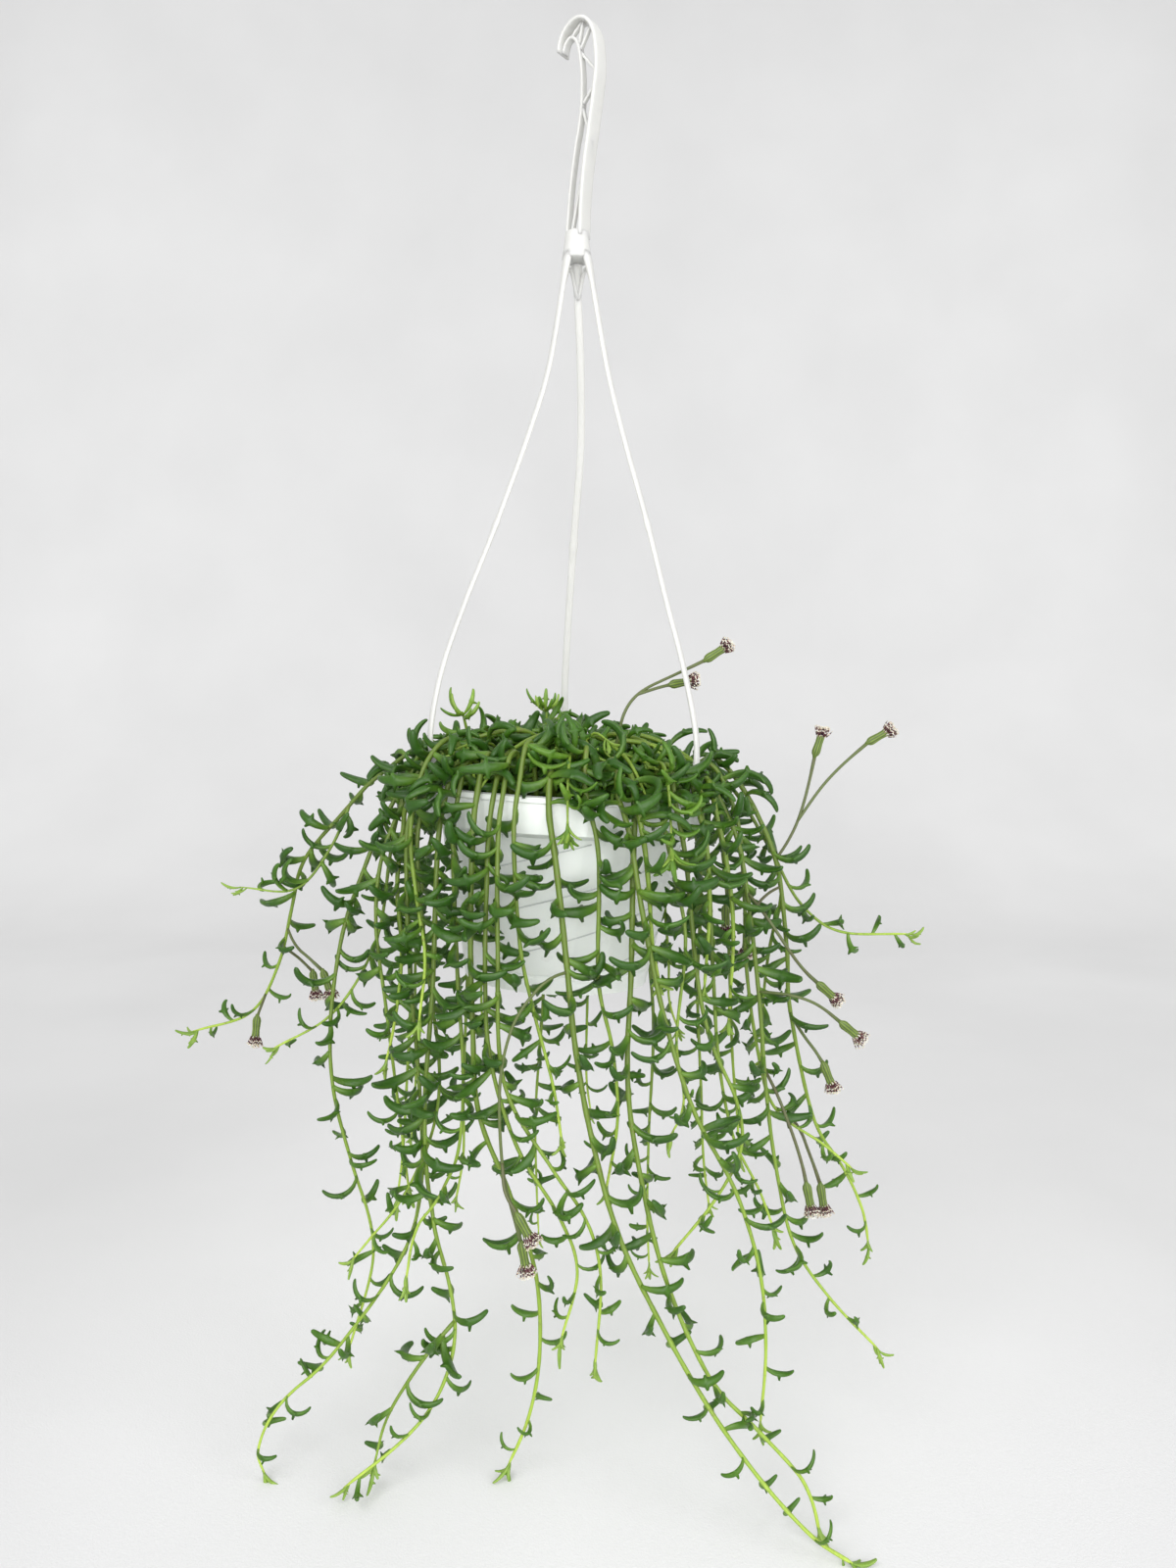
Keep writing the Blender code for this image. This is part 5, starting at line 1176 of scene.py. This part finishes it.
class Skin:
    """A material whose nodes are linked while its colour is put together."""

    def __init__(self, name, roughness):
        self.made = bpy.data.materials.new(name)
        self.made.use_nodes = True
        self.tree = self.made.node_tree
        self.shader = self.tree.nodes["Principled BSDF"]
        self.shader.inputs["Roughness"].default_value = roughness

    def feed(self, socket, value):
        """Puts a value or another node's output into an input."""
        if isinstance(value, bpy.types.NodeSocket):
            self.tree.links.new(value, socket)
        elif socket.type == "RGBA":
            socket.default_value = (*value, 1.0)
        else:
            socket.default_value = value

    def node(self, kind, inputs, **settings):
        made = self.tree.nodes.new("ShaderNode" + kind)
        for name, value in settings.items():
            setattr(made, name, value)
        for key, value in inputs.items():
            self.feed(made.inputs[key], value)
        return made.outputs

    def attribute(self, name):
        return self.node("Attribute", {}, attribute_name=name)["Fac"]

    def place(self):
        return self.node("TexCoord", {})["Object"]

    def noise(self, scale, detail=3.0, stretch=None):
        """Noise in the object's space, of features 1 / scale metres wide."""
        place = self.place()
        if stretch:
            place = self.node("Mapping", {"Vector": place, "Scale": stretch})["Vector"]
        return self.node("TexNoise", {"Vector": place, "Scale": scale, "Detail": detail})["Fac"]

    def maths(self, operation, *values):
        return self.node("Math", dict(enumerate(values)), operation=operation)["Value"]

    def spread(self, value, width, middle=0.0):
        """A factor from 0 to 1, as wide as given round a middle."""
        return self.maths("MULTIPLY_ADD", value, width, middle - width / 2)

    def ramp(self, factor, stops):
        """Colours, or greys as single numbers, at places along a factor."""
        node = self.tree.nodes.new("ShaderNodeValToRGB")
        elements = node.color_ramp.elements
        while len(elements) < len(stops):
            elements.new(0.5)
        for element, (place, colour) in zip(elements, stops):
            element.position = place
            element.color = (*(colour if isinstance(colour, tuple) else [colour] * 3), 1.0)
        self.feed(node.inputs["Fac"], factor)
        return node.outputs["Color"]

    def mix(self, factor, first, second, blend="MIX"):
        return self.node("Mix", {0: factor, 6: first, 7: second}, data_type="RGBA", blend_type=blend)[2]

    def soften(self, weight, scale, radius=(1.0, 0.2, 0.1)):
        """Light that goes a little way in: how much of it, and how far for each colour."""
        for name, value in (("Weight", weight), ("Scale", scale), ("Radius", radius)):
            self.feed(self.shader.inputs["Subsurface " + name], value)

    def finish(self, colour, height, distance, strength, **others):
        """The material, with its colour, a fine relief and other inputs of its shader."""
        relief = self.node("Bump", {"Height": height, "Distance": distance, "Strength": strength})["Normal"]
        for name, value in {"Base_Color": colour, "Normal": relief, **others}.items():
            self.feed(self.shader.inputs[name.replace("_", " ")], value)
        return self.made


def leaf_surface():
    """Waxy green, yellower when young, paler at the base, edges and inner side."""
    skin = Skin("leaf_skin", 0.42)
    age = skin.maths("ADD", skin.attribute("young"), skin.spread(skin.noise(260), 0.5))
    age = skin.maths("ADD", age, skin.spread(skin.attribute("pick"), 0.3))
    colour = skin.ramp(age, (
        (0.0, (0.021, 0.076, 0.004)), (0.35, (0.046, 0.130, 0.006)),
        (0.7, (0.112, 0.225, 0.018)), (1.0, (0.24, 0.37, 0.055)),
    ))
    base = skin.ramp(skin.attribute("along"), ((0.0, 0.8), (0.3, 0.2), (0.5, 0.0)))
    colour = skin.mix(base, colour, (0.15, 0.27, 0.030))
    inner = skin.attribute("inner")
    edge = skin.maths("POWER", skin.maths("SUBTRACT", 1.0, skin.maths("ABSOLUTE", inner)), 3.0)
    colour = skin.mix(skin.maths("MULTIPLY", edge, 0.3), colour, (0.12, 0.23, 0.03))
    band = skin.maths("POWER", skin.maths("MAXIMUM", inner, 0.0), 6.0)
    colour = skin.mix(skin.maths("MULTIPLY", band, 0.3), colour, (0.09, 0.19, 0.045))
    skin.soften(0.12, 0.002, (0.4, 1.0, 0.2))
    waxy = {"Specular_IOR_Level": 0.36, "Coat_Weight": 0.06, "Coat_Roughness": 0.35}
    return skin.finish(colour, skin.noise(900, 2.0), 0.0003, 0.5, **waxy)


def stem_surface():
    """Olive to bright yellow-green, with fine streaks along it and brown flecks."""
    skin = Skin("stem_skin", 0.48)
    streaks = skin.spread(skin.noise(600, 3.0, (1.0, 1.0, 0.08)), 0.4)
    colour = skin.ramp(skin.maths("ADD", skin.attribute("young"), streaks), (
        (0.0, (0.11, 0.175, 0.018)), (0.35, (0.155, 0.25, 0.022)),
        (0.75, (0.27, 0.41, 0.040)), (1.0, (0.42, 0.56, 0.07)),
    ))
    flecks = skin.ramp(skin.noise(420, 2.0), ((0.62, 0.0), (0.74, 0.5)))
    colour = skin.mix(flecks, colour, (0.16, 0.12, 0.05))
    skin.soften(0.1, 0.002, (0.5, 1.0, 0.2))
    return skin.finish(colour, skin.noise(1500, 2.0, (1.0, 1.0, 0.15)), 0.0002, 0.6)


def stalk_surface():
    """Reddish olive stalks, and green cups with dark grooves and points."""
    skin = Skin("stalk_skin", 0.5)
    young = skin.attribute("young")
    colour = skin.ramp(skin.maths("ADD", young, skin.spread(skin.noise(300, 3.0), 0.5)), (
        (0.0, (0.14, 0.085, 0.05)), (0.3, (0.15, 0.18, 0.05)),
        (0.65, (0.15, 0.22, 0.025)), (1.0, (0.22, 0.32, 0.04)),
    ))
    rib = skin.maths("MULTIPLY_ADD", skin.attribute("inner"), -0.45, 0.45)
    colour = skin.mix(rib, colour, (0.035, 0.06, 0.025))
    ends = skin.ramp(skin.attribute("along"), ((0.9, 0.0), (1.0, 0.6)))
    on_cup = skin.ramp(young, ((0.4, 0.0), (0.6, 1.0)))
    colour = skin.mix(skin.maths("MULTIPLY", ends, on_cup), colour, (0.07, 0.03, 0.03))
    return skin.finish(colour, skin.noise(1200, 2.0), 0.0002, 0.5)


def floret_surface(name, low, high):
    skin = Skin(name, 0.6)
    tone = skin.maths("ADD", skin.noise(900, 2.0), skin.spread(skin.attribute("pick"), 0.4))
    colour = skin.ramp(tone, ((0.3, low), (0.7, high)))
    skin.soften(0.1, 0.001)
    return skin.finish(colour, skin.noise(3000, 1.0), 0.0001, 0.5)


def plastic_surface(name, low, high, roughness, waves):
    """Moulded plastic: faint clouding, specks, an uneven gloss and flow marks."""
    skin = Skin(name, roughness)
    colour = skin.ramp(skin.noise(28, 4.0), ((0.3, low), (0.7, high)))
    specks = skin.ramp(skin.noise(520, 2.0), ((0.74, 0.0), (0.8, 0.25)))
    colour = skin.mix(specks, colour, (0.42, 0.43, 0.38))
    gloss = skin.spread(skin.noise(60, 3.0), 0.16, roughness)
    height = skin.maths("ADD", skin.noise(180, 2.0), skin.maths("MULTIPLY", skin.noise(14, 2.0), waves))
    skin.soften(0.35, 0.004, (1.0, 1.0, 0.9))
    return skin.finish(colour, height, 0.0004, 0.35, Roughness=gloss, IOR=1.49)


def soil_surface():
    """Dark fibrous peat with pale specks."""
    skin = Skin("peat", 0.95)
    stops = (0.3, (0.012, 0.009, 0.006)), (0.62, (0.045, 0.03, 0.018)), (0.8, (0.13, 0.1, 0.07))
    return skin.finish(skin.ramp(skin.noise(240, 6.0), stops), skin.noise(320, 6.0), 0.003, 1.0)


def sheet_surface():
    """The pale sweep's white cloth, with painted light and shade: the floor darker towards the front, a
    painted pool of light in the floor's middle, and a painted shadow on the wall behind the plant.
    """
    skin = Skin("white_cloth_painted_shade", 0.9)
    colour = skin.ramp(skin.noise(3.0, 3.0), ((0.3, 0.84), (0.7, 0.885)))
    split = skin.node("SeparateXYZ", {"Vector": skin.place()})
    away = skin.maths("MULTIPLY_ADD", split["Y"], 0.5, 0.2)
    # Painted shade: the floor darker towards the front, where the lamps from above light it most.
    shade = skin.ramp(away, ((0.0, (0.84, 0.84, 0.845)), (0.15, (0.95, 0.95, 0.955)), (0.3, 1.0)))
    colour = skin.mix(1.0, colour, shade, "MULTIPLY")
    aside = skin.maths("ABSOLUTE", split["X"])
    # Painted light: the floor brightest in its middle, under the plant that shades it, and darker towards
    # its sides.
    near = skin.ramp(aside, ((0.0, 1.0), (0.15, 0.95), (0.45, 0.80)))
    # Painted shadow: the wall darker in its middle, behind the plant.
    far = skin.ramp(skin.maths("MULTIPLY", aside, 0.6), ((0.0, 0.88), (0.3, 0.91), (0.8, 1.0)))
    back = skin.ramp(away, ((0.3, 0.0), (0.75, 1.0)))
    colour = skin.mix(1.0, colour, skin.mix(back, near, far), "MULTIPLY")
    return skin.finish(colour, skin.noise(900, 2.0), 0.0004, 0.4)


def dress_pot(frame, surfaces):
    """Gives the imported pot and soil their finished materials."""
    for name in ("pot", "soil"):
        mesh = frame["nodes"][name].data
        mesh.materials.clear()
        mesh.materials.append(surfaces[name])


def make_stage(surface, low):
    """A pale floor that sweeps up far behind the plant."""
    profile = [(-SWEEP_HALF, 0.0)]
    for angle in (math.radians(90 * step / SWEEP_STEPS) for step in range(SWEEP_STEPS + 1)):
        reach = SWEEP_WALL - SWEEP_BEND + SWEEP_BEND * math.sin(angle)
        profile.append((reach, SWEEP_BEND - SWEEP_BEND * math.cos(angle)))
    profile.append((SWEEP_WALL, SWEEP_HEIGHT))
    corners = [(side * SWEEP_HALF, y, low + z) for y, z in profile for side in (-1, 1)]
    faces = [(n * 2, n * 2 + 1, n * 2 + 3, n * 2 + 2) for n in range(len(profile) - 1)]
    mesh = bpy.data.meshes.new("sweep")
    mesh.from_pydata(corners, [], faces)
    mesh.shade_smooth()
    mesh.materials.append(surface)
    made = new_object("sweep", mesh)
    made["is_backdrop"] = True


def make_lights():
    """Soft studio light: pale surroundings and large panels."""
    world = bpy.data.worlds.new("studio")
    world.use_nodes = True
    back = world.node_tree.nodes["Background"]
    back.inputs["Color"].default_value = (1.0, 1.0, 1.0, 1.0)
    back.inputs["Strength"].default_value = WORLD_STRENGTH
    bpy.context.scene.world = world
    for name, place, target, sides, watts in LIGHTS:
        lamp = bpy.data.lights.new(name, "AREA")
        lamp.shape = "RECTANGLE"
        lamp.size, lamp.size_y = sides
        lamp.energy = watts
        made = new_object(name, lamp)
        made.location = place
        made.rotation_euler = (Vector(target) - Vector(place)).to_track_quat("-Z", "Y").to_euler()
    bpy.context.scene.view_settings.view_transform = "Standard"


def make_camera():
    data = bpy.data.cameras.new("camera")
    data.lens = CAMERA_LENS
    data.sensor_width = CAMERA_SENSOR
    made = new_object("camera", data)
    made.location = CAMERA_PLACE
    made.rotation_euler = (math.radians(90 + CAMERA_PITCH), 0, 0)
    bpy.context.scene.camera = made


def write_sizes(frame_box, scene_box):
    """Both boxes as plain lists, in a dictionary that is then dropped: nothing writes or compares them."""
    sizes = {
        "frame": [list(corner) for corner in frame_box],
        "scene": [list(corner) for corner in scene_box],
    }


def main():
    for existing in list(bpy.data.objects):
        bpy.data.objects.remove(existing)
    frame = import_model()
    frame_box = [tuple(corner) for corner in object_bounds()]
    make_camera()
    make_lights()
    surfaces = {
        "leaf": leaf_surface(),
        "stem": stem_surface(),
        "stalk": stalk_surface(),
        "cream": floret_surface("floret_cream", (0.62, 0.54, 0.40), (0.86, 0.82, 0.72)),
        "anther": floret_surface("floret_anther", (0.045, 0.012, 0.018), (0.11, 0.03, 0.035)),
        # The pot's slight green tint is painted light: green from the leaves around it, painted onto the
        # white plastic.
        "pot": plastic_surface("pot_white", (0.90, 0.955, 0.895), (0.94, 0.98, 0.93), 0.30, 1.0),
        # The ridges' grey is painted shade: the pot's own white plastic, painted darker so that the moulded
        # lines show dark.
        "ridge": plastic_surface("pot_ridge", (0.62, 0.66, 0.63), (0.68, 0.72, 0.69), 0.35, 0.3),
        # The hanger's light grey is painted shade: its white plastic is painted darker to hold back the
        # strong light that falls on the hook and legs.
        "hanger": plastic_surface("hanger_white", (0.57, 0.57, 0.55), (0.62, 0.62, 0.60), 0.5, 0.3),
        "soil": soil_surface(),
        "sheet": sheet_surface(),
    }
    make_plant(surfaces)
    dress_pot(frame, surfaces)
    make_hanger(surfaces["hanger"])
    make_ridges(surfaces["ridge"])
    make_stage(surfaces["sheet"], frame_box[0][2] - SWEEP_GAP)
    write_sizes(frame_box, [tuple(corner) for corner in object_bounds()])


main()
